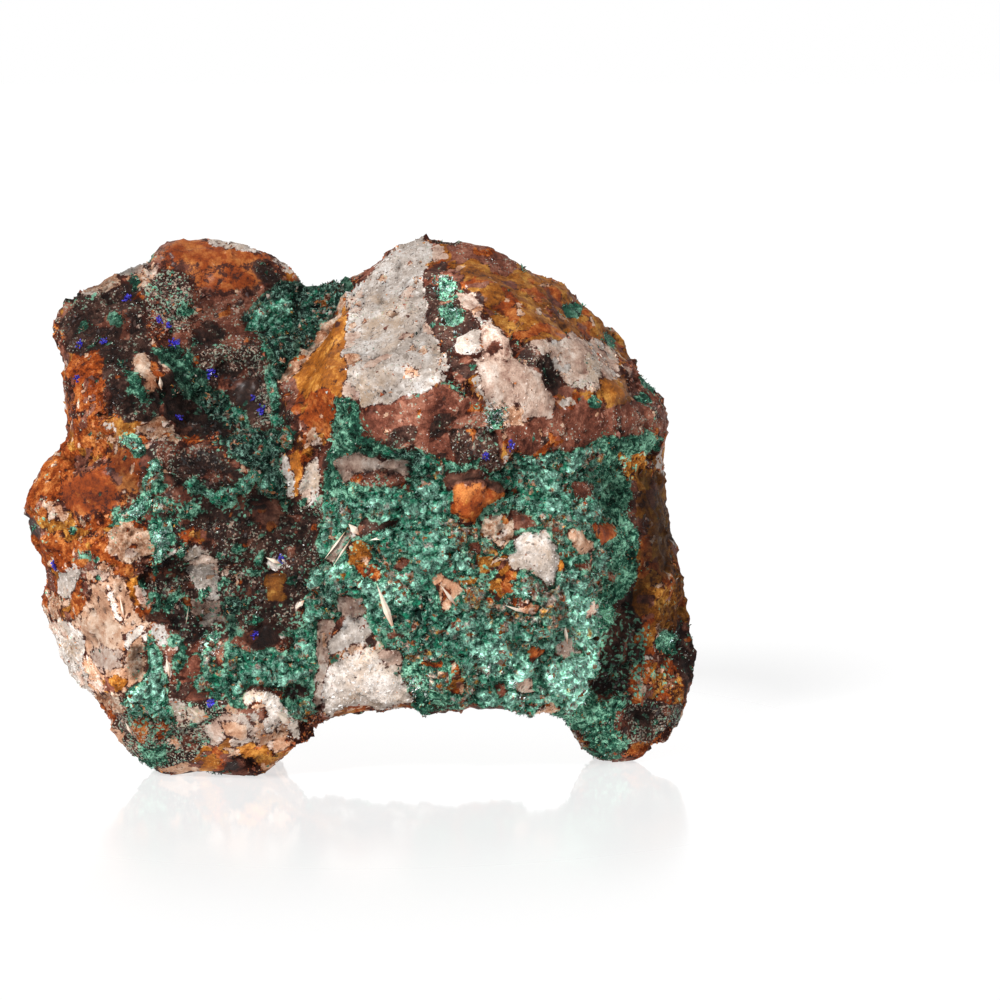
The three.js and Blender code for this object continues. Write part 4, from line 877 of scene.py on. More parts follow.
def smooth_copy(source, net):
    """An even, smooth net over a CAD solid, as arrays in mm."""
    copy = source.copy()
    copy.data = source.data.copy()
    bpy.context.scene.collection.objects.link(copy)
    weld = copy.modifiers.new("weld", "WELD")
    weld.merge_threshold = WELD_REACH
    rounding = copy.modifiers.new("round", "SUBSURF")
    rounding.levels = 2
    remesh = copy.modifiers.new("net", "REMESH")
    remesh.mode = "VOXEL"
    remesh.voxel_size = net
    evaluated = copy.evaluated_get(bpy.context.evaluated_depsgraph_get())
    mesh = bpy.data.meshes.new_from_object(evaluated)
    bpy.data.objects.remove(copy)
    points = np.empty(len(mesh.vertices) * 3)
    mesh.vertices.foreach_get("co", points)
    faces = np.empty(len(mesh.polygons) * 4, dtype=np.int64)
    mesh.polygons.foreach_get("vertices", faces)
    bpy.data.meshes.remove(mesh)
    return points.reshape(-1, 3) / MM, faces.reshape(-1, 4)


def point_normals(points, faces):
    """The direction in which the surface faces at each point, averaged over its faces."""
    flat = np.cross(points[faces[:, 2]] - points[faces[:, 0]], points[faces[:, -1]] - points[faces[:, 1]])
    normals = np.zeros_like(points)
    for axis in range(3):
        for corner in range(faces.shape[1]):
            normals[:, axis] += np.bincount(faces[:, corner], flat[:, axis], len(points))
    return normals / (np.linalg.norm(normals, axis=1, keepdims=True) + 1e-12)


def quad_edges(faces):
    """The four edges of every face, in the order of the corners."""
    return np.stack([faces[:, [corner, (corner + 1) % 4]] for corner in range(4)], axis=1)


def hollowness(points, normals, faces, rounds):
    """How far the surface lies below its smoothed self, in mm: positive in hollows."""
    edges = quad_edges(faces).reshape(-1, 2)
    count = np.bincount(edges[:, 0], minlength=len(points))[:, None] + 1e-9
    smooth = points
    for _ in range(rounds):
        total = np.stack([np.bincount(edges[:, 0], smooth[edges[:, 1], axis], len(points))
                          for axis in range(3)], axis=1)
        smooth = 0.5 * smooth + 0.5 * total / count
    return np.einsum("ij,ij->i", smooth - points, normals)


def refine(faces, rows):
    """Cuts each square face into four. rows are all values held at the points; they are averaged."""
    edges = np.sort(quad_edges(faces).reshape(-1, 2), axis=1)
    unique, place = np.unique(edges, axis=0, return_inverse=True)
    place = place.reshape(-1, 4)
    middles = len(rows) + place
    centres = len(rows) + len(unique) + np.arange(len(faces))
    finer = np.concatenate((rows, rows[unique].mean(axis=1), rows[faces].mean(axis=1)))
    quads = [np.stack((faces[:, c], middles[:, c], centres, middles[:, c - 1]), axis=1) for c in range(4)]
    return np.concatenate(quads), finer, unique


def make_object(name, points, faces, material, smooth=True, values=None, colours=None):
    """A mesh object from arrays in mm, with its attributes and material."""
    corners = faces.shape[1]
    mesh = bpy.data.meshes.new(name)
    mesh.vertices.add(len(points))
    mesh.vertices.foreach_set("co", (points * MM).astype(np.float32).ravel())
    mesh.loops.add(faces.size)
    mesh.loops.foreach_set("vertex_index", faces.astype(np.int32).ravel())
    mesh.polygons.add(len(faces))
    mesh.polygons.foreach_set("loop_start", np.arange(0, faces.size, corners, dtype=np.int32))
    mesh.polygons.foreach_set("use_smooth", np.broadcast_to(smooth, len(faces)))
    mesh.update(calc_edges=True)
    for label, numbers in (values or {}).items():
        attribute = mesh.attributes.new(label, "FLOAT", "POINT")
        attribute.data.foreach_set("value", numbers.astype(np.float32))
    if colours is not None:
        attribute = mesh.attributes.new("Tint", "FLOAT_COLOR", "POINT")
        filled = np.concatenate((colours, np.ones((len(colours), 1))), axis=1)
        attribute.data.foreach_set("color", filled.astype(np.float32).ravel())
    mesh.materials.append(material)
    made = bpy.data.objects.new(name, mesh)
    bpy.context.scene.collection.objects.link(made)
    return made


# ---- crystals


def sprinkle(surface, weight, count, rng):
    """Random places, more where the weight is high: points, normals and a corner beside each."""
    triangles = np.concatenate((surface.faces[:, :3], surface.faces[:, [0, 2, 3]]))
    corners = surface.points[triangles]
    cross = np.cross(corners[:, 1] - corners[:, 0], corners[:, 2] - corners[:, 0])
    chance = np.linalg.norm(cross, axis=1) * np.maximum(weight, 0)[triangles].mean(axis=1)
    picked = rng.choice(len(triangles), size=count, p=chance / chance.sum())
    mix = rng.dirichlet((1, 1, 1), size=count)
    corner_ids = triangles[picked]
    points = np.einsum("ij,ijk->ik", mix, surface.points[corner_ids])
    normals = np.einsum("ij,ijk->ik", mix, surface.normals[corner_ids])
    return points, normals / (np.linalg.norm(normals, axis=1, keepdims=True) + 1e-12), corner_ids[:, 0]


def thin_out(points, spacing):
    """Keeps one point in each cell of a grid, so that none crowd."""
    cells = np.floor(points / spacing).astype(np.int64)
    _, first = np.unique(cells, axis=0, return_index=True)
    return first


def random_directions(count, rng):
    """Directions that point anywhere, all of length 1."""
    directions = rng.normal(size=(count, 3))
    return directions / np.linalg.norm(directions, axis=1, keepdims=True)


def side_axes(directions, rng):
    """Two axes square to each direction, turned at random."""
    first = np.cross(directions, random_directions(len(directions), rng))
    first /= np.linalg.norm(first, axis=1, keepdims=True) + 1e-12
    return first, np.cross(directions, first)


# Corner 0 is the root, 1 to 4 go round the waist, 5 is the tip.
SPINDLE_FACES = np.array((
    (0, 2, 1), (0, 3, 2), (0, 4, 3), (0, 1, 4),
    (5, 1, 2), (5, 2, 3), (5, 3, 4), (5, 4, 1),
))
CRUMB_SKEW = 0.3  # how far a crumb's corners are moved, as a share of its size


def spindles(roots, directions, lengths, widths, rng, waist=0.45, flatness=0.6):
    """Pointed crystals: six points and eight faces each. waist is where they are widest."""
    first, second = side_axes(directions, rng)
    middle = roots + directions * (lengths * waist)[:, None]
    wide = first * widths[:, None] / 2
    thin = second * (widths * flatness)[:, None] / 2
    tips = roots + directions * lengths[:, None]
    rows = (roots, middle + wide, middle + thin, middle - wide, middle - thin, tips)
    points = np.stack(rows, axis=1).reshape(-1, 3)
    faces = (np.arange(len(roots)) * 6)[:, None, None] + SPINDLE_FACES[None]
    return points, faces.reshape(-1, 3)


def crumbs(centres, sizes, rng):
    """Broken grains: spindles as wide as they are long, with every corner moved."""
    directions = random_directions(len(centres), rng)
    lengths = sizes * rng.uniform(0.8, 1.3, size=len(sizes))
    points, faces = spindles(centres - directions * lengths[:, None] / 2, directions, lengths,
                             sizes * rng.uniform(0.8, 1.2, size=len(sizes)), rng, flatness=0.8)
    shift = CRUMB_SKEW * sizes[:, None, None] * rng.uniform(-1, 1, size=(len(centres), 6, 3))
    return (points.reshape(-1, 6, 3) + shift).reshape(-1, 3), faces


def each_corner(colours, root=1.0, tip=1.0):
    """The colours of whole crystals, as colours of their six points."""
    rows = np.repeat(colours[:, None], 6, axis=1)
    rows[:, 0] *= root
    rows[:, 5] *= tip
    return np.clip(rows, 0, 1).reshape(-1, 3)


def between(low, high, share):
    """Blends two colours for each share."""
    return np.asarray(low)[None] * (1 - share)[:, None] + np.asarray(high)[None] * share[:, None]


def three_tones(low, middle, high, share):
    """Blends from low through middle to high as the share goes from 0 to 1."""
    share = np.clip(share, 0, 1)
    upper = between(middle, high, np.clip(share * 2 - 1, 0, 1))
    return np.where((share < 0.5)[:, None], between(low, middle, np.clip(share * 2, 0, 1)), upper)


# ---- shader wrapper


class Value:
    """A socket in a shader. Python's operators on a number's socket add Math nodes."""

    def __init__(self, nodes, socket):
        self.nodes = nodes
        self.socket = socket

    def math(self, operation, *values):
        return self.nodes.add("ShaderNodeMath", {"operation": operation}, dict(enumerate(values)))

    def __add__(self, other):
        return self.math("ADD", self, other)

    __radd__ = __add__

    def __sub__(self, other):
        return self.math("SUBTRACT", self, other)

    def __rsub__(self, other):
        return self.math("SUBTRACT", other, self)

    def __mul__(self, other):
        return self.math("MULTIPLY", self, other)

    __rmul__ = __mul__

    def __abs__(self):
        return self.math("ABSOLUTE", self)

    def between(self, low, high):
        """0 below low, 1 above high, smooth in between."""
        inputs = {"Value": self, "From Min": low, "From Max": high}
        return self.nodes.add("ShaderNodeMapRange", {"interpolation_type": "SMOOTHSTEP"}, inputs)


# The sockets of a Mix node that mixes colours: its factor, its two colours and its result.
MIX_SHARE, MIX_LOW, MIX_HIGH, MIX_RESULT = 0, 6, 7, 2


class Nodes:
    """The node tree of a material or a world, with one method that adds any node."""

    def __init__(self, owner, shader):
        owner.use_nodes = True
        self.tree = owner.node_tree
        self.shader = self.tree.nodes[shader]

    def add(self, kind, settings=None, inputs=None, output=0):
        """Adds a node: its settings first, a ramp's stops among them, then its sockets."""
        node = self.tree.nodes.new(kind)
        settings = dict(settings or {})
        for stop, (position, tone) in enumerate(settings.pop("stops", ())):
            elements = node.color_ramp.elements
            element = elements[stop] if stop < len(elements) else elements.new(position)
            element.position = position
            element.color = (*tone, 1)
        for key, setting in settings.items():
            setattr(node, key, setting)
        for key, value in (inputs or {}).items():
            self.feed(node.inputs[key], value)
        return Value(self, node.outputs[output])

    def feed(self, socket, value):
        """Links a value to a socket, or sets the socket to a plain number, vector or colour."""
        if isinstance(value, Value):
            self.tree.links.new(value.socket, socket)
        elif socket.type == "RGBA" and len(value) == 3:
            socket.default_value = (*value, 1)
        else:
            socket.default_value = value

    def set(self, name, value):
        """Feeds a socket of the shader itself."""
        self.feed(self.shader.inputs[name], value)


class MaterialNodes(Nodes):
    """A material's node tree, and the textures that are laid out in its object's own space."""

    def __init__(self, name):
        self.material = bpy.data.materials.new(name)
        super().__init__(self.material, "Principled BSDF")
        self.place = self.add("ShaderNodeTexCoord", output="Object")

    def attribute(self, name, output="Fac"):
        return self.add("ShaderNodeAttribute", {"attribute_name": name}, output=output)

    def noise(self, size_mm, detail=3.0, rough=0.55, warp=0.0):
        inputs = {"Vector": self.place, "Scale": 1 / (size_mm * MM), "Detail": detail, "Roughness": rough,
                  "Distortion": warp}
        return self.add("ShaderNodeTexNoise", None, inputs)

    def cell_tone(self, size_mm, channel=0):
        """One number from 0 to 1 for each grain; each channel gives another."""
        inputs = {"Vector": self.place, "Scale": 1 / (size_mm * MM)}
        cells = self.add("ShaderNodeTexVoronoi", None, inputs, "Color")
        return self.add("ShaderNodeSeparateColor", None, {0: cells}, channel)

    def ramp(self, value, *stops):
        """A colour for a number: stops are numbers with their colours."""
        return self.add("ShaderNodeValToRGB", {"stops": stops}, {0: value})

    def blend(self, share, low, high):
        """low where the share is 0, high where it is 1; both are colours."""
        inputs = {MIX_SHARE: share, MIX_LOW: low, MIX_HIGH: high}
        return self.add("ShaderNodeMix", {"data_type": "RGBA"}, inputs, MIX_RESULT)

    def tint(self, tone, by):
        """A colour times another."""
        settings = {"data_type": "RGBA", "blend_type": "MULTIPLY"}
        return self.add("ShaderNodeMix", settings, {MIX_SHARE: 1.0, MIX_LOW: tone, MIX_HIGH: by}, MIX_RESULT)

    def grey(self, value):
        """A number as a grey colour."""
        return self.add("ShaderNodeCombineColor", None, {0: value, 1: value, 2: value})

    def bump(self, height, distance_mm, strength=1.0, under=None):
        """A normal that shows a height, on top of the bump that lies under it."""
        inputs = {"Height": height, "Distance": distance_mm * MM, "Strength": strength}
        if under is not None:
            inputs["Normal"] = under
        return self.add("ShaderNodeBump", None, inputs)


# ---- materials


# The minerals in the order in which the shader lays them, each over those before it.
LAYING_ORDER = ("rust", "ochre", "redbrown", "maroon", "beige", "pink", "quartz", "malachite")
MASK_EDGE = (0.36, 0.64)  # the share of a mineral at which it starts to show, and covers all
TONE_STOPS = (0.12, 0.5, 0.92)  # where the dark, the middle and the light tone stand


def rock_material(rock):
    """Every mineral of the matrix, each with its own tones, laid out by the surface's attributes."""
    nodes = MaterialNodes("iron_stained_quartz")
    blots = nodes.noise(4.5, 3, 0.6)
    grit = nodes.noise(1.0, 4, 0.7)
    fine = nodes.noise(0.30, 3, 0.75)
    grain = nodes.cell_tone(0.62)
    speck = nodes.cell_tone(0.24)
    shade = nodes.attribute("shade")
    rough = 1.25 - nodes.attribute("calm") * 0.95
    ragged = (grit - 0.5) * 1.3 + (fine - 0.5) * 0.7 + (grain - 0.5) * 0.25
    uneven = (grit - 0.5) * 1.5 + (fine - 0.5) * 1.0 + (grain - 0.5) * 0.35
    tone = (blots - 0.5) * 1.5 + uneven * rough + 0.5
    masks = {name: (nodes.attribute(name) + ragged).between(*MASK_EDGE) for name in LAYING_ORDER}

    def tones(name, share):
        colours = (tuple(getattr(rock, f"{name}_{tone_name}")) for tone_name in TONE_NAMES)
        return nodes.ramp(share, *zip(TONE_STOPS, colours))

    base = tones("redbrown", tone - 0.35)
    for name, mask in masks.items():
        base = nodes.blend(mask, base, tones(name, tone))
    pale = masks["quartz"]
    green = nodes.attribute("malachite").between(0.3, 0.6)
    # pale specks in drifts, and not on the green
    drift = nodes.attribute("frost") + (blots - 0.5) * 1.6
    strewn = (speck + drift * 0.5).between(1.08, 1.16) * (1 - green)
    either = nodes.cell_tone(0.5, 1).between(0.4, 0.6)
    frosting = nodes.blend(either, tuple(rock.pink_mid), tuple(rock.frost))
    base = nodes.blend(strewn * 0.75, base, frosting)
    # green specks near the malachite
    moss = (nodes.cell_tone(0.41) + nodes.attribute("moss") * 0.45 + (grit - 0.5) * 0.5).between(1.02, 1.12)
    base = nodes.blend(moss, base, tones("malachite", tone + 0.25))
    # brown grains and a thin brown veil on the quartz
    rusty = (nodes.cell_tone(0.5) + (blots - 0.5) * 1.2).between(0.98, 1.1) * pale
    base = nodes.blend(rusty * 0.2, base, tuple(rock.ochre_mid))
    veil = nodes.noise(7, 3, 0.6).between(0.46, 0.68) * pale
    base = nodes.blend(veil * 0.2, base, tuple(rock.ochre_light))
    # light is painted shade and painted highlight from the shade attribute, times the grain's unevenness.
    light = (shade * 0.9 + 1.0) * ((fine - 0.5) * rough * 1.0 + 1.0) * ((grit - 0.5) * rough * 0.9 + 1.0)
    nodes.set("Base Color", nodes.tint(base, nodes.grey(light)))
    nodes.set("Roughness", 0.72 - strewn * 0.3 - pale * 0.2 + (fine - 0.5) * 0.5)
    nodes.set("Coat Weight", nodes.attribute("calm").between(0.6, 0.95) * 0.2)
    nodes.set("Coat Roughness", 0.25)
    height = nodes.bump(grit * rough, 0.55, 1.0)
    height = nodes.bump(grain * rough, 0.12, 0.8, height)
    nodes.set("Normal", nodes.bump(fine * rough, 0.22, 1.0, height))
    nodes.set("Specular IOR Level", 0.12)
    return nodes.material


def crystal_material(name, roughness, specular, vary):
    """Crystals coloured by their own attribute, with a little unevenness in each."""
    nodes = MaterialNodes(name)
    fine = nodes.noise(0.22, 3, 0.6)
    tint = nodes.attribute("Tint", "Color")
    nodes.set("Base Color", nodes.tint(tint, nodes.grey(fine * vary * 2 + (1 - vary))))
    nodes.set("Roughness", fine * 0.3 + (roughness - 0.15))
    nodes.set("Normal", nodes.bump(nodes.noise(0.16, 2), 0.08, 0.5))
    nodes.set("Specular IOR Level", specular)
    return nodes.material


# The tones of the grains that stain a crust, and where each stands between 0 and 1.
STAIN_STOPS = ((0.0, "maroon_mid"), (0.2, "redbrown_mid"), (0.4, "ochre_mid"), (0.6, "beige_mid"),
               (0.8, "pink_mid"), (0.95, "quartz_mid"))


def malachite_material(settings, rock):
    """The crusts' greens: each bed's tint, painted darker in its gaps, laced with pale fibres and painted
    highlight, strewn with grains.
    """
    nodes = MaterialNodes("malachite_crystals")
    drift = nodes.noise(3.2, 2, 0.6)
    grit = nodes.noise(0.75, 3, 0.7)
    fine = nodes.noise(0.26, 3, 0.75)
    tint = nodes.attribute("Tint", "Color")
    # Pale mint lace: fibres, and painted highlight along ridges.
    lace = (1 - abs(nodes.noise(1.5, 3, 0.6, warp=0.5) - 0.5) * 12).between(0.1, 0.8)
    lace = lace * (grit * 0.7 + fine * 0.8).between(0.62, 0.86)
    # Painted shade: the greens are darker in the gaps between lumps.
    gaps = nodes.noise(1.1, 3, 0.65, warp=0.3).between(0.38, 0.52)
    light = (gaps * 0.85 + 0.25) * (grit.between(0.3, 0.7) * 1.1 + 0.45) * ((fine - 0.5) * 2.8 + 1.05)
    base = nodes.tint(tint, nodes.grey(light))
    base = nodes.blend(lace * 0.75, base, tuple(settings.mint))
    stain = (nodes.cell_tone(0.6) + (drift - 0.5) * 2.6 + (grit - 0.5) * 0.6).between(0.98, 1.06)
    stops = [(place, tuple(getattr(rock, name))) for place, name in STAIN_STOPS]
    grains = nodes.tint(nodes.ramp(nodes.cell_tone(0.55, 1), *stops), nodes.grey((grit - 0.5) * 1.4 + 1.0))
    base = nodes.blend(stain, base, grains)
    nodes.set("Base Color", base)
    nodes.set("Roughness", 0.62 - lace * 0.2 + (fine - 0.5) * 0.5)
    height = nodes.bump(grit, 0.45, 1.0)
    height = nodes.bump(lace + stain, 0.18, 0.8, height)
    nodes.set("Normal", nodes.bump(fine, 0.28, 1.0, height))
    nodes.set("Specular IOR Level", 0.15)
    return nodes.material


# ---- the rock and its crusts

surfaces = {}  # the rock's surface, once it is built: the other pieces grow on it
DARKEST = -0.92  # the least shade
GREEN_ENOUGH = 0.45  # the share of malachite from which a point belongs to a crust
CRUST_REACH = 4.0  # mm from a CAD crust within which green points belong to it
BLOCK = 64  # corners of a CAD crust that are compared at a time, to save memory
RIM_SINK = 0.15  # mm that the edge of a crust lies in the rock
BED_SINK = 0.6  # mm that its underside lies in the rock


def relief(points, calm, lift, rock):
    """How far each point moves along its normal, in mm, and how deep it lies in a crack."""
    wavy = stirred(points, 2.6, 0.9, 301)
    coarse = chips(wavy, 6.5, 311)
    medium = chips(stirred(points, 1.8, 0.5, 321), 3.0, 331)
    small = chips(stirred(points, 1.1, 0.3, 341), 1.6, 351)
    crack = 1 - ease_between(0.0, 0.10, np.abs(layered(wavy, 8, 381, 2)))
    crack = np.maximum(crack, 0.6 * (1 - ease_between(0.0, 0.08, np.abs(layered(wavy, 3.5, 391, 2)))))
    crack *= ease_between(-0.1, 0.25, waves(points, 12, 397)) * (1 - calm * 0.6)
    height = rock.chip / MM * (coarse * (1 - calm * 0.45) + medium * 0.8 * (1 - calm * 0.85))
    height += rock.grit / MM * (small * 1.3 * (1 - calm) + layered(points, 1.5, 371, 2) * (0.8 - calm * 0.5))
    height -= rock.crack / MM * crack
    return height + lift, crack


def grow_rock(scene):
    """The rock's broken surface, with what is found at each of its points."""
    rock = scene.druse_rock
    points, faces = smooth_copy(bpy.data.objects["matrix_rock"], rock.net)
    normals = point_normals(points, faces)
    share, shade, lift, front, calm, extra = read_patches(points, normals, scene.druse_stage)
    height, crack = relief(points, calm, lift, rock)
    foot = ease_between(0.3, 2.5, points[:, 2])
    points = points + normals * (height * (0.25 + 0.75 * foot))[:, None]
    points[:, 2] = np.maximum(points[:, 2], 0)
    normals = point_normals(points, faces)
    close = hollowness(points, normals, faces, 8)
    wide = hollowness(points, normals, faces, 60)
    # Painted shade, darker in cracks and hollows, and painted highlight, lighter on small bumps.
    shade = shade - 0.35 * crack - 0.5 * ease_between(0.05, 0.35, close) - 0.45 * ease_between(0.1, 1.4, wide)
    shade += 0.25 * ease_between(0.05, 0.4, -close)
    shade = np.maximum(shade, DARKEST)
    calm = spread_out(calm, faces, 1)
    frost = extra["frost"] + 0.3 * ease_between(0.0, 0.3, -close)
    frost -= 0.5 * ease_between(0.3, 0.8, share["rust"] + share["ochre"])
    moss = 0.5 * waves(points, 5, 87) + extra["moss"]
    moss += 0.35 * ease_between(0.02, 0.5, spread_out(share["malachite"], faces, 14))
    moss -= 0.5 * ease_between(0.6, 0.9, calm)
    return SimpleNamespace(points=points, faces=faces, normals=normals, share=share, shade=shade, front=front,
                           frost=frost, moss=moss, calm=calm, sand=extra["sand"])


def spread_out(values, faces, rounds):
    """Values blurred over the net."""
    edges = quad_edges(faces).reshape(-1, 2)
    count = np.bincount(edges[:, 0], minlength=len(values)) + 1e-9
    for _ in range(rounds):
        values = 0.4 * values + 0.6 * np.bincount(edges[:, 0], values[edges[:, 1]], len(values)) / count
    return values


def crust_zone(surface):
    """Which CAD crust each green point belongs to: 0 none, then 1, 2, 3 in the order of CRUST_CRYSTALS."""
    green = surface.share["malachite"] > GREEN_ENOUGH
    zone = np.zeros(len(surface.points), dtype=int)
    reach = np.full(len(surface.points), CRUST_REACH)
    for number, name in enumerate(CRUST_CRYSTALS, start=1):
        mesh = bpy.data.objects[name].data
        corners = np.empty(len(mesh.vertices) * 3)
        mesh.vertices.foreach_get("co", corners)
        corners = np.unique((corners.reshape(-1, 3) / MM).round(2), axis=0)
        low, high = corners.min(axis=0) - CRUST_REACH, corners.max(axis=0) + CRUST_REACH
        inside = np.flatnonzero(green & ((surface.points > low) & (surface.points < high)).all(axis=1))
        near = np.full(len(inside), np.inf)
        for start in range(0, len(corners), BLOCK):
            block = corners[start:start + BLOCK]
            gap = np.linalg.norm(surface.points[inside, None] - block[None], axis=2).min(axis=1)
            near = np.minimum(near, gap)
        closer = near < reach[inside]
        zone[inside[closer]] = number
        reach[inside[closer]] = near[closer]
    return zone


def crust_bed(surface, chosen, settings):
    """The lumpy bed of a crust, closed underneath, inside the rock."""
    faces = surface.faces[chosen[surface.faces].all(axis=1)]
    used, renamed = np.unique(faces, return_inverse=True)
    coarse = renamed.reshape(-1, 4)
    edges = quad_edges(coarse).reshape(-1, 2)
    codes = edges[:, 0] * len(used) + edges[:, 1]
    rim = edges[~np.isin(codes, edges[:, 1] * len(used) + edges[:, 0])]
    on_rim = np.zeros(len(used))
    on_rim[rim.ravel()] = 1
    rows = np.column_stack((surface.points[used], surface.normals[used], surface.share["malachite"][used],
                            surface.shade[used], surface.sand[used], on_rim))
    fine, rows, unique = refine(coarse, rows)
    base, normals = rows[:, :3], rows[:, 3:6]
    green, shade, sand, on_rim = rows[:, 6:].T
    wavy = stirred(base, 1.2, 0.35, 401)
    lumps = 0.65 * knobs(wavy, 2.4, 411) + 0.75 * knobs(wavy, 1.1, 421) + 0.2 * layered(base, 0.9, 431, 2)
    lumps += 0.4 * ridges(wavy, 2.1, 425) + 0.2 * ridges(base, 1.1, 429)
    depth = ease_between(0.4, 0.85, green)
    rise = 0.05 + settings.lump / MM * depth * np.clip(lumps - 0.35, -0.25, 1.3)
    rise = np.where(on_rim > 0.9, -RIM_SINK, rise)
    over = base + normals * rise[:, None]
    under = surface.points[used] - surface.normals[used] * BED_SINK
    offset = len(over)
    lookup = {tuple(pair): len(used) + number for number, pair in enumerate(unique)}
    middle = np.array([lookup[tuple(sorted(pair))] for pair in rim])
    walls = np.concatenate((
        np.stack((rim[:, 0], rim[:, 0] + offset, middle), axis=1),
        np.stack((middle, rim[:, 0] + offset, rim[:, 1] + offset), axis=1),
        np.stack((middle, rim[:, 1] + offset, rim[:, 1]), axis=1)))
    bottom = coarse[:, ::-1] + offset
    triangles = np.concatenate((fine[:, :3], fine[:, [0, 2, 3]], bottom[:, :3], bottom[:, [0, 2, 3]], walls))
    points = np.concatenate((over, under))
    normals = point_normals(over, fine)
    return SimpleNamespace(points=points, triangles=triangles, faces=fine, normals=normals, shade=shade,
                           sand=sand, height=lumps, top=len(over))


def build_piece(name, points, faces, material, colours, smooth=False):
    """A piece of small bodies that rides on the lump; none reaches below the floor."""
    points = np.column_stack((points[:, :2], np.maximum(points[:, 2], 0)))
    piece = make_object(name, points, faces, material, smooth=smooth, colours=colours)
    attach(piece, "root")
    return piece


GRAIN_TONES = ("maroon_mid", "redbrown_mid", "rust_mid", "ochre_mid", "ochre_light", "beige_mid", "pink_mid",
               "quartz_mid", "malachite_light")


def grain_tones(rock, pick):
    """The colour of a grain of sand in a crust, for a number from 0 to 1."""
    tones = np.array([tuple(getattr(rock, name)) for name in GRAIN_TONES])
    return tones[np.clip((pick * len(tones)).astype(int), 0, len(tones) - 1)]


def brightness(level):
    """How much brighter or darker than its tone a crystal is, for the level of its place: partly its own
    tone, partly painted light and shade.
    """
    return (1 + 1.2 * np.clip(level - 0.4, 0, 1.8) + 0.6 * np.minimum(level, 0))[:, None]


def green_tones(points, settings, rock, level, sand, rng):
    """A colour for each crystal of a crust, lighter or darker with the painted light and shade of its place.
    """
    wide = 0.40 + 0.5 * waves(points, 7, 431) + 0.5 * waves(points, 2.2, 433) + level * 0.8
    own = wide * 0.75 + rng.normal(0.05, 0.30, size=len(points))
    tone = three_tones(settings.deep, settings.green, settings.mint, own)
    tone = tone * brightness(level)
    stained = rng.uniform(0, 1, size=len(points)) + 0.35 * waves(points, 3.0, 437) < sand
    return np.where(stained[:, None], grain_tones(rock, rng.uniform(0, 1, size=len(points))), tone)


TUFT_PLACES = 60000  # places that are tried, before crowded ones are thinned out


def tufts(surface, weight, settings, rock, level, sand, rng, limit, per_tuft=6, spread=1.6, ends=(0.4, 1.35)):
    """Tufts of short green crystals, limit of them at most.

    level and sand belong to the surface's points: how bright the crystals are there, which holds painted
    light and shade, and what share is stained. spread is how far they lean out of a tuft, and ends how
    bright their roots and tips are: painted shade at the roots and painted highlight at the tips.
    """
    points, normals, near = sprinkle(surface, weight, TUFT_PLACES, rng)
    kept = rng.permutation(thin_out(points, settings.spacing / MM))[: limit // per_tuft]
    points, normals, near = points[kept], normals[kept], near[kept]
    points = np.repeat(points, per_tuft, axis=0)
    normals = np.repeat(normals, per_tuft, axis=0)
    levels = np.repeat(level[near], per_tuft)
    sands = np.repeat(sand[near], per_tuft)
    tuft_size = np.repeat(rng.uniform(0.6, 1.4, size=len(kept)), per_tuft)
    directions = normals + spread * random_directions(len(points), rng)
    below = np.einsum("ij,ij->i", directions, normals) < 0.2
    directions[below] += normals[below] * 1.2
    directions /= np.linalg.norm(directions, axis=1, keepdims=True)
    lengths = settings.needle / MM * tuft_size * rng.uniform(0.55, 1.3, size=len(points))
    widths = lengths * rng.uniform(0.2, 0.5, size=len(points))
    roots = points + 0.3 * random_directions(len(points), rng) - normals * 0.15
    mesh_points, mesh_faces = spindles(roots, directions, lengths, widths, rng)
    colours = each_corner(green_tones(roots, settings, rock, levels, sands, rng), *ends)
    return mesh_points, mesh_faces, colours


def join(*parts):
    """Joins triangle meshes given as points, faces and colours."""
    points, faces, colours, offset = [], [], [], 0
    for part_points, part_faces, part_colours in parts:
        points.append(part_points)
        faces.append(part_faces + offset)
        colours.append(part_colours)
        offset += len(part_points)
    return np.concatenate(points), np.concatenate(faces), np.concatenate(colours)


def rock_tones(surface, near, rock, rng):
    """A colour for each crumb, of the mineral that it lies on."""
    share = np.clip(rng.normal(0.5, 0.22, size=len(near)) + surface.shade[near] * 0.5, 0, 1)
    colours = three_tones(rock.rust_dark, rock.rust_mid, rock.rust_light, share)
    for mineral in MINERALS:
        tones = (getattr(rock, f"{mineral}_{tone_name}") for tone_name in TONE_NAMES)
        here = surface.share[mineral][near] + rng.normal(0, 0.2, size=len(near)) > 0.5
        colours = np.where(here[:, None], three_tones(*tones, share), colours)
    # Painted shade: crumbs are darker where the shade of their place is dark.
    return colours * (1 + 0.8 * np.minimum(surface.shade[near], 0))[:, None]


# ---- operators


class DRUSE_OT_rock(bpy.types.Operator):
    """Build the matrix: the broken, iron-stained quartz that everything grows on"""

    bl_idname = "druse.rock"
    bl_label = "Matrix rock"

    def execute(self, context):
        surface = grow_rock(context.scene)
        surfaces["rock"] = surface
        values = dict(surface.share, shade=surface.shade, frost=surface.frost, moss=surface.moss,
                      calm=surface.calm)
        material = rock_material(context.scene.druse_rock)
        piece = make_object("matrix_surface", surface.points, surface.faces, material, values=values)
        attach(piece, "root")
        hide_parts("matrix_rock")
        return {"FINISHED"}


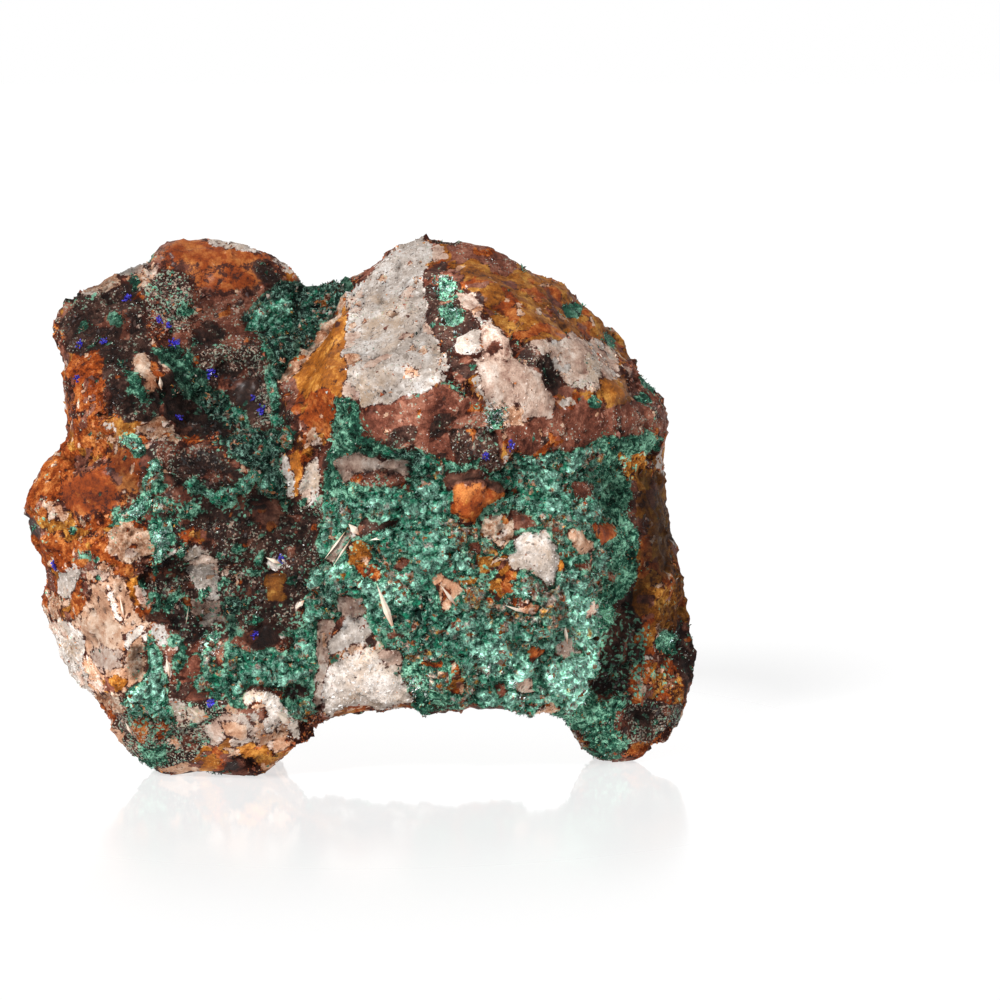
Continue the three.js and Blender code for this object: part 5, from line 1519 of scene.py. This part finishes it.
class DRUSE_OT_crusts(bpy.types.Operator):
    """Grow the three malachite crusts: a lumpy green bed with tufts of crystals on it"""

    bl_idname = "druse.crusts"
    bl_label = "Malachite crusts"

    def execute(self, context):
        surface = surfaces["rock"]
        settings = context.scene.druse_malachite
        rock = context.scene.druse_rock
        material = malachite_material(settings, rock)
        surface.zone = crust_zone(surface)
        for number, (name, limit) in enumerate(CRUST_CRYSTALS.items(), start=1):
            rng = np.random.default_rng(500 + number)
            bed = crust_bed(surface, surface.zone == number, settings)
            top = bed.points[:bed.top]
            # Painted light and shade: the bed is mint on top of its lumps and deep green in the gaps, and
            # follows the shade of its place.
            tone = 0.02 + 0.6 * bed.height + 0.3 * layered(top, 5, 441, 2) + bed.shade * 0.55
            colours = three_tones(settings.deep, settings.green, settings.mint, np.clip(tone, 0, 0.9))
            _, _, home = nearest_cells(stirred(top, 1.0, 0.2, 451), 0.85, 461)
            pick = lattice_values(home, 463) + 0.35 * waves(top, 3.0, 437)
            sand = grain_tones(rock, lattice_values(home, 467))
            colours = np.where((pick < bed.sand)[:, None], sand, colours)
            # Painted shade: darker down in the gaps between lumps, with the place's painted light and shade.
            colours *= (0.2 + 0.8 * ease_between(0.1, 0.75, bed.height))[:, None] * brightness(bed.shade)
            colours = np.concatenate((colours, np.zeros((len(bed.points) - bed.top, 3))))
            weight = 0.3 + ease_between(0.2, 0.9, bed.height)
            # Painted highlight: tufts on higher lumps are lighter.
            level = bed.shade + 0.4 * (bed.height - 0.6)
            grown = tufts(bed, weight, settings, rock, level, bed.sand, rng, limit)
            points, faces, colours = join((bed.points, bed.triangles, colours), grown)
            smooth = np.arange(len(faces)) < len(bed.triangles)
            piece = build_piece(name + "_crystals", points, faces, material, colours, smooth)
            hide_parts(name)
        return {"FINISHED"}


class DRUSE_OT_tufts(bpy.types.Operator):
    """Grow the small malachite tufts and the pale sprays away from the crusts"""

    bl_idname = "druse.tufts"
    bl_label = "Malachite tufts"

    def execute(self, context):
        surface = surfaces["rock"]
        settings = context.scene.druse_malachite
        rock = context.scene.druse_rock
        material = bpy.data.materials["malachite_crystals"]
        rng = np.random.default_rng(520)
        weight = np.where(surface.zone == 0, ease_between(0.3, 0.8, surface.share["malachite"]), 0)
        grown = tufts(surface, weight, settings, rock, surface.shade, surface.sand, rng, TUFT_CRYSTALS,
                      per_tuft=5)
        places = as_seen(surface.points, context.scene.druse_stage)
        near = np.zeros(len(surface.points))
        bright = np.zeros(len(surface.points))
        for across, up, radius, level in MINT_SPRAYS:
            away = np.hypot(places[:, 0] - across, places[:, 1] - up)
            near = np.maximum(near, 1 - ease_between(radius * 0.7, radius, away))
            bright[away < radius] = level
        unstained = np.zeros(len(surface.points))
        sprays = tufts(surface, near * surface.front, settings, rock, bright, unstained, rng, SPRAY_CRYSTALS,
                       spread=3.0, ends=(1.0, 1.2))
        points, faces, colours = join(grown, sprays)
        build_piece("malachite_tufts", points, faces, material, colours)
        return {"FINISHED"}


class DRUSE_OT_grains(bpy.types.Operator):
    """Strew crumbs of rock, quartz grains and glittering crystals over the matrix"""

    bl_idname = "druse.grains"
    bl_label = "Grains and crumbs"

    def execute(self, context):
        surface = surfaces["rock"]
        small = context.scene.druse_small
        rock = context.scene.druse_rock
        bare = (1 - 0.8 * ease_between(0.3, 0.6, surface.share["malachite"])) * (0.35 + surface.front)
        pale = surface.share["quartz"] + 0.5 * surface.share["pink"] + 0.4 * surface.share["beige"]
        dark = surface.share["maroon"] + 0.6 * surface.share["redbrown"] + 0.1
        drift = ease_between(-0.1, 0.5, waves(surface.points, 3.5, 601) + surface.frost * 0.5)
        lit = ease_between(-0.75, -0.3, surface.shade)
        crumbly = ease_between(0.0, 0.5, waves(surface.points, 5, 607) + 0.5 - surface.calm * 0.8)
        facing = 0.3 + surface.front
        # name, where, how many, how large, how rough, and how uneven in tone
        kinds = (
            ("rock_crumbs", bare * (1.2 - pale) * crumbly, CRUMB_COUNT, small.crumb, 0.6, 0.25),
            ("quartz_grains", pale ** 2 * facing, GRAIN_COUNT, small.grain, 0.35, 0.15),
            ("quartz_glitter", dark * drift * lit * facing, GLITTER_COUNT, small.spark, 0.25, 0.1),
        )
        for number, (name, weight, count, size, roughness, vary) in enumerate(kinds):
            rng = np.random.default_rng(540 + number)
            points, normals, near = sprinkle(surface, weight, count, rng)
            sizes = size / MM * rng.gamma(6, 1 / 6, size=count)
            mesh_points, mesh_faces = crumbs(points - normals * (sizes * 0.25)[:, None], sizes, rng)
            tones = rock_tones(surface, near, rock, rng)
            # Painted glints: the glittering crystals are coloured pale green to white, and lit keeps them off
            # shaded rock.
            if name == "quartz_glitter":
                tones = between(tuple(rock.frost), (1, 1, 1), rng.beta(0.6, 1.2, size=count))
            material = crystal_material(name, roughness, 0.55, vary)
            build_piece(name, mesh_points, mesh_faces, material, each_corner(tones))
        return {"FINISHED"}


def surface_under(surface, across, up, stage):
    """The point of the front surface that shows at a place of the picture plane."""
    places = as_seen(surface.points, stage)
    away = np.hypot(places[:, 0] - across, places[:, 1] - up)
    close = np.flatnonzero(away < max(0.9, away.min() + 0.3))
    return close[np.argmin(surface.points[close, 1])]


class DRUSE_OT_azurite(bpy.types.Operator):
    """Grow the little clusters of blue azurite crystals"""

    bl_idname = "druse.azurite"
    bl_label = "Azurite"

    def execute(self, context):
        surface = surfaces["rock"]
        small = context.scene.druse_small
        rng = np.random.default_rng(560)
        roots, directions, lengths = [], [], []
        for across, up in AZURITE_SPOTS:
            seat = surface_under(surface, across, up, context.scene.druse_stage)
            size = small.azurite / MM * rng.uniform(0.75, 1.2)
            count = int(rng.integers(22, 36))
            normal = surface.normals[seat]
            turned = random_directions(count, rng) + normal * 0.9
            turned /= np.linalg.norm(turned, axis=1, keepdims=True)
            scatter = random_directions(count, rng) * size * 0.5 * rng.uniform(0.1, 1, size=(count, 1))
            scatter -= normal * (scatter @ normal)[:, None]
            roots.append(surface.points[seat] + scatter - normal * 0.1)
            directions.append(turned)
            lengths.append(size * rng.uniform(0.25, 0.5, size=count))
        roots = np.concatenate(roots)
        lengths = np.concatenate(lengths)
        points, faces = spindles(roots, np.concatenate(directions), lengths, lengths * 0.75, rng, waist=0.6)
        tone = between(small.blue_dark, small.blue_light, rng.uniform(0, 1, size=len(roots)))
        material = crystal_material("azurite_crystals", 0.25, 0.6, 0.2)
        # Painted shade at each crystal's root and painted highlight at its tip.
        build_piece("azurite_crystals", points, faces, material, each_corner(tone, 0.6, 1.3))
        return {"FINISHED"}


class DRUSE_OT_flakes(bpy.types.Operator):
    """Set the loose splinters and flakes that stick out of the crusts"""

    bl_idname = "druse.flakes"
    bl_label = "Loose flakes"

    def execute(self, context):
        surface = surfaces["rock"]
        small = context.scene.druse_small
        stage = context.scene.druse_stage
        rng = np.random.default_rng(580)
        roots, spans, widths = [], [], []
        for start, end, width, stand_out in FLAKES:
            seats = [surface_under(surface, *place, stage) for place in (end, start)]
            low, high = (surface.points[seat] for seat in seats)
            high = high + stand_out * surface.normals[seats[1]] * np.array((0.3, 1, 0.3))
            roots.append(low)
            spans.append(high - low)
            widths.append(width)
        spans = np.array(spans)
        lengths = np.linalg.norm(spans, axis=1)
        directions = spans / lengths[:, None]
        points, faces = spindles(np.array(roots), directions, lengths, np.array(widths), rng, flatness=0.5)
        tones = np.tile(np.asarray(small.bone_light), (len(lengths), 6, 1))
        tones[:, 0] = small.bone_dark
        material = crystal_material("loose_flakes", 0.4, 0.4, 0.2)
        build_piece("loose_flakes", points, faces, material, tones.reshape(-1, 3))
        return {"FINISHED"}


FLOOR_HALF = 2.0  # m from the floor's middle to its edge
POLISH_REACH = 0.15  # m from the lump's middle, where the floor's gloss has faded
KEY_FROM = (-0.42, -0.70, 0.66)  # the direction in which the big soft light lies
SENSOR_WIDTH = 36  # mm


class DRUSE_OT_stage(bpy.types.Operator):
    """Set the floor, the lights and the camera"""

    bl_idname = "druse.stage"
    bl_label = "Stage"

    def execute(self, context):
        stage = context.scene.druse_stage
        scene = context.scene
        mesh = bpy.data.meshes.new("floor")
        corners = [(x * FLOOR_HALF, y * FLOOR_HALF, 0) for x, y in ((-1, -1), (1, -1), (1, 1), (-1, 1))]
        mesh.from_pydata(corners, [], [(0, 1, 2, 3)])
        floor = bpy.data.objects.new("floor", mesh)
        scene.collection.objects.link(floor)
        nodes = MaterialNodes("pale_floor")
        # Painted light: the floor glows so that it looks white, and its glow is a tenth weaker near the lump,
        # which darkens the floor round it.
        nodes.set("Base Color", (0.26, 0.26, 0.26))
        away = nodes.add("ShaderNodeVectorMath", {"operation": "LENGTH"}, {0: nodes.place}, "Value")
        faded = (away * (1 / POLISH_REACH)).between(0.25, 1.0)
        nodes.set("Emission Color", nodes.blend(faded, (0.9, 0.9, 0.9), (1, 1, 1)))
        nodes.set("Emission Strength", 0.74)
        nodes.set("Roughness", faded * 0.75 + 0.06)
        nodes.set("Specular IOR Level", 0.2)
        mesh.materials.append(nodes.material)

        key_data = bpy.data.lights.new("key", "SUN")
        key_data.energy = stage.key
        key_data.angle = stage.key_width
        key = bpy.data.objects.new("key", key_data)
        key.rotation_euler = Vector(KEY_FROM).to_track_quat("Z", "Y").to_euler()
        scene.collection.objects.link(key)

        world = bpy.data.worlds.new("studio")
        sky = Nodes(world, "Background")
        sky.set("Color", (1, 1, 1))
        diffuse = sky.add("ShaderNodeLightPath", output="Is Diffuse Ray")
        sky.set("Strength", 1 - diffuse * (1 - stage.ambient))
        scene.world = world

        camera_data = bpy.data.cameras.new("camera")
        camera_data.sensor_width = SENSOR_WIDTH
        camera_data.lens = camera_data.sensor_width * stage.distance / stage.width
        camera_data.clip_start = 0.01
        camera = bpy.data.objects.new("camera", camera_data)
        back = Vector((0, -math.cos(stage.elevation), math.sin(stage.elevation)))
        camera.location = Vector((stage.aim_x, 0, stage.aim_up)) + back * stage.distance
        camera.rotation_euler = back.to_track_quat("Z", "Y").to_euler()
        scene.collection.objects.link(camera)
        scene.camera = camera
        scene.view_settings.view_transform = "Standard"
        return {"FINISHED"}


class DRUSE_PT_panel(bpy.types.Panel):
    """Lists the druse's sizes and steps"""

    bl_idname = "DRUSE_PT_panel"
    bl_label = "Malachite Druse"
    bl_space_type = "VIEW_3D"
    bl_region_type = "UI"
    bl_category = "Druse"

    def draw(self, context):
        for group, (label, settings) in GROUPS.items():
            box = self.layout.box()
            box.label(text=label)
            for name in settings.__annotations__:
                box.prop(getattr(context.scene, group), name)
        for operator in OPERATORS:
            self.layout.operator(operator.bl_idname)


GROUPS = {
    "druse_rock": ("Rock", DruseRock),
    "druse_malachite": ("Malachite", DruseMalachite),
    "druse_small": ("Small crystals", DruseSmall),
    "druse_stage": ("Stage", DruseStage),
}
OPERATORS = (DRUSE_OT_stage, DRUSE_OT_rock, DRUSE_OT_crusts, DRUSE_OT_tufts, DRUSE_OT_grains,
             DRUSE_OT_azurite, DRUSE_OT_flakes)


def register():
    for group, (_, settings) in GROUPS.items():
        bpy.utils.register_class(settings)
        setattr(bpy.types.Scene, group, PointerProperty(type=settings))
    for made in (*OPERATORS, DRUSE_PT_panel):
        bpy.utils.register_class(made)


def unregister():
    for made in (DRUSE_PT_panel, *reversed(OPERATORS)):
        bpy.utils.unregister_class(made)
    for group, (_, settings) in GROUPS.items():
        delattr(bpy.types.Scene, group)
        bpy.utils.unregister_class(settings)


def main():
    register()
    for operator in OPERATORS:
        family, name = operator.bl_idname.split(".")
        getattr(getattr(bpy.ops, family), name)()


if __name__ == "__main__":
    main()
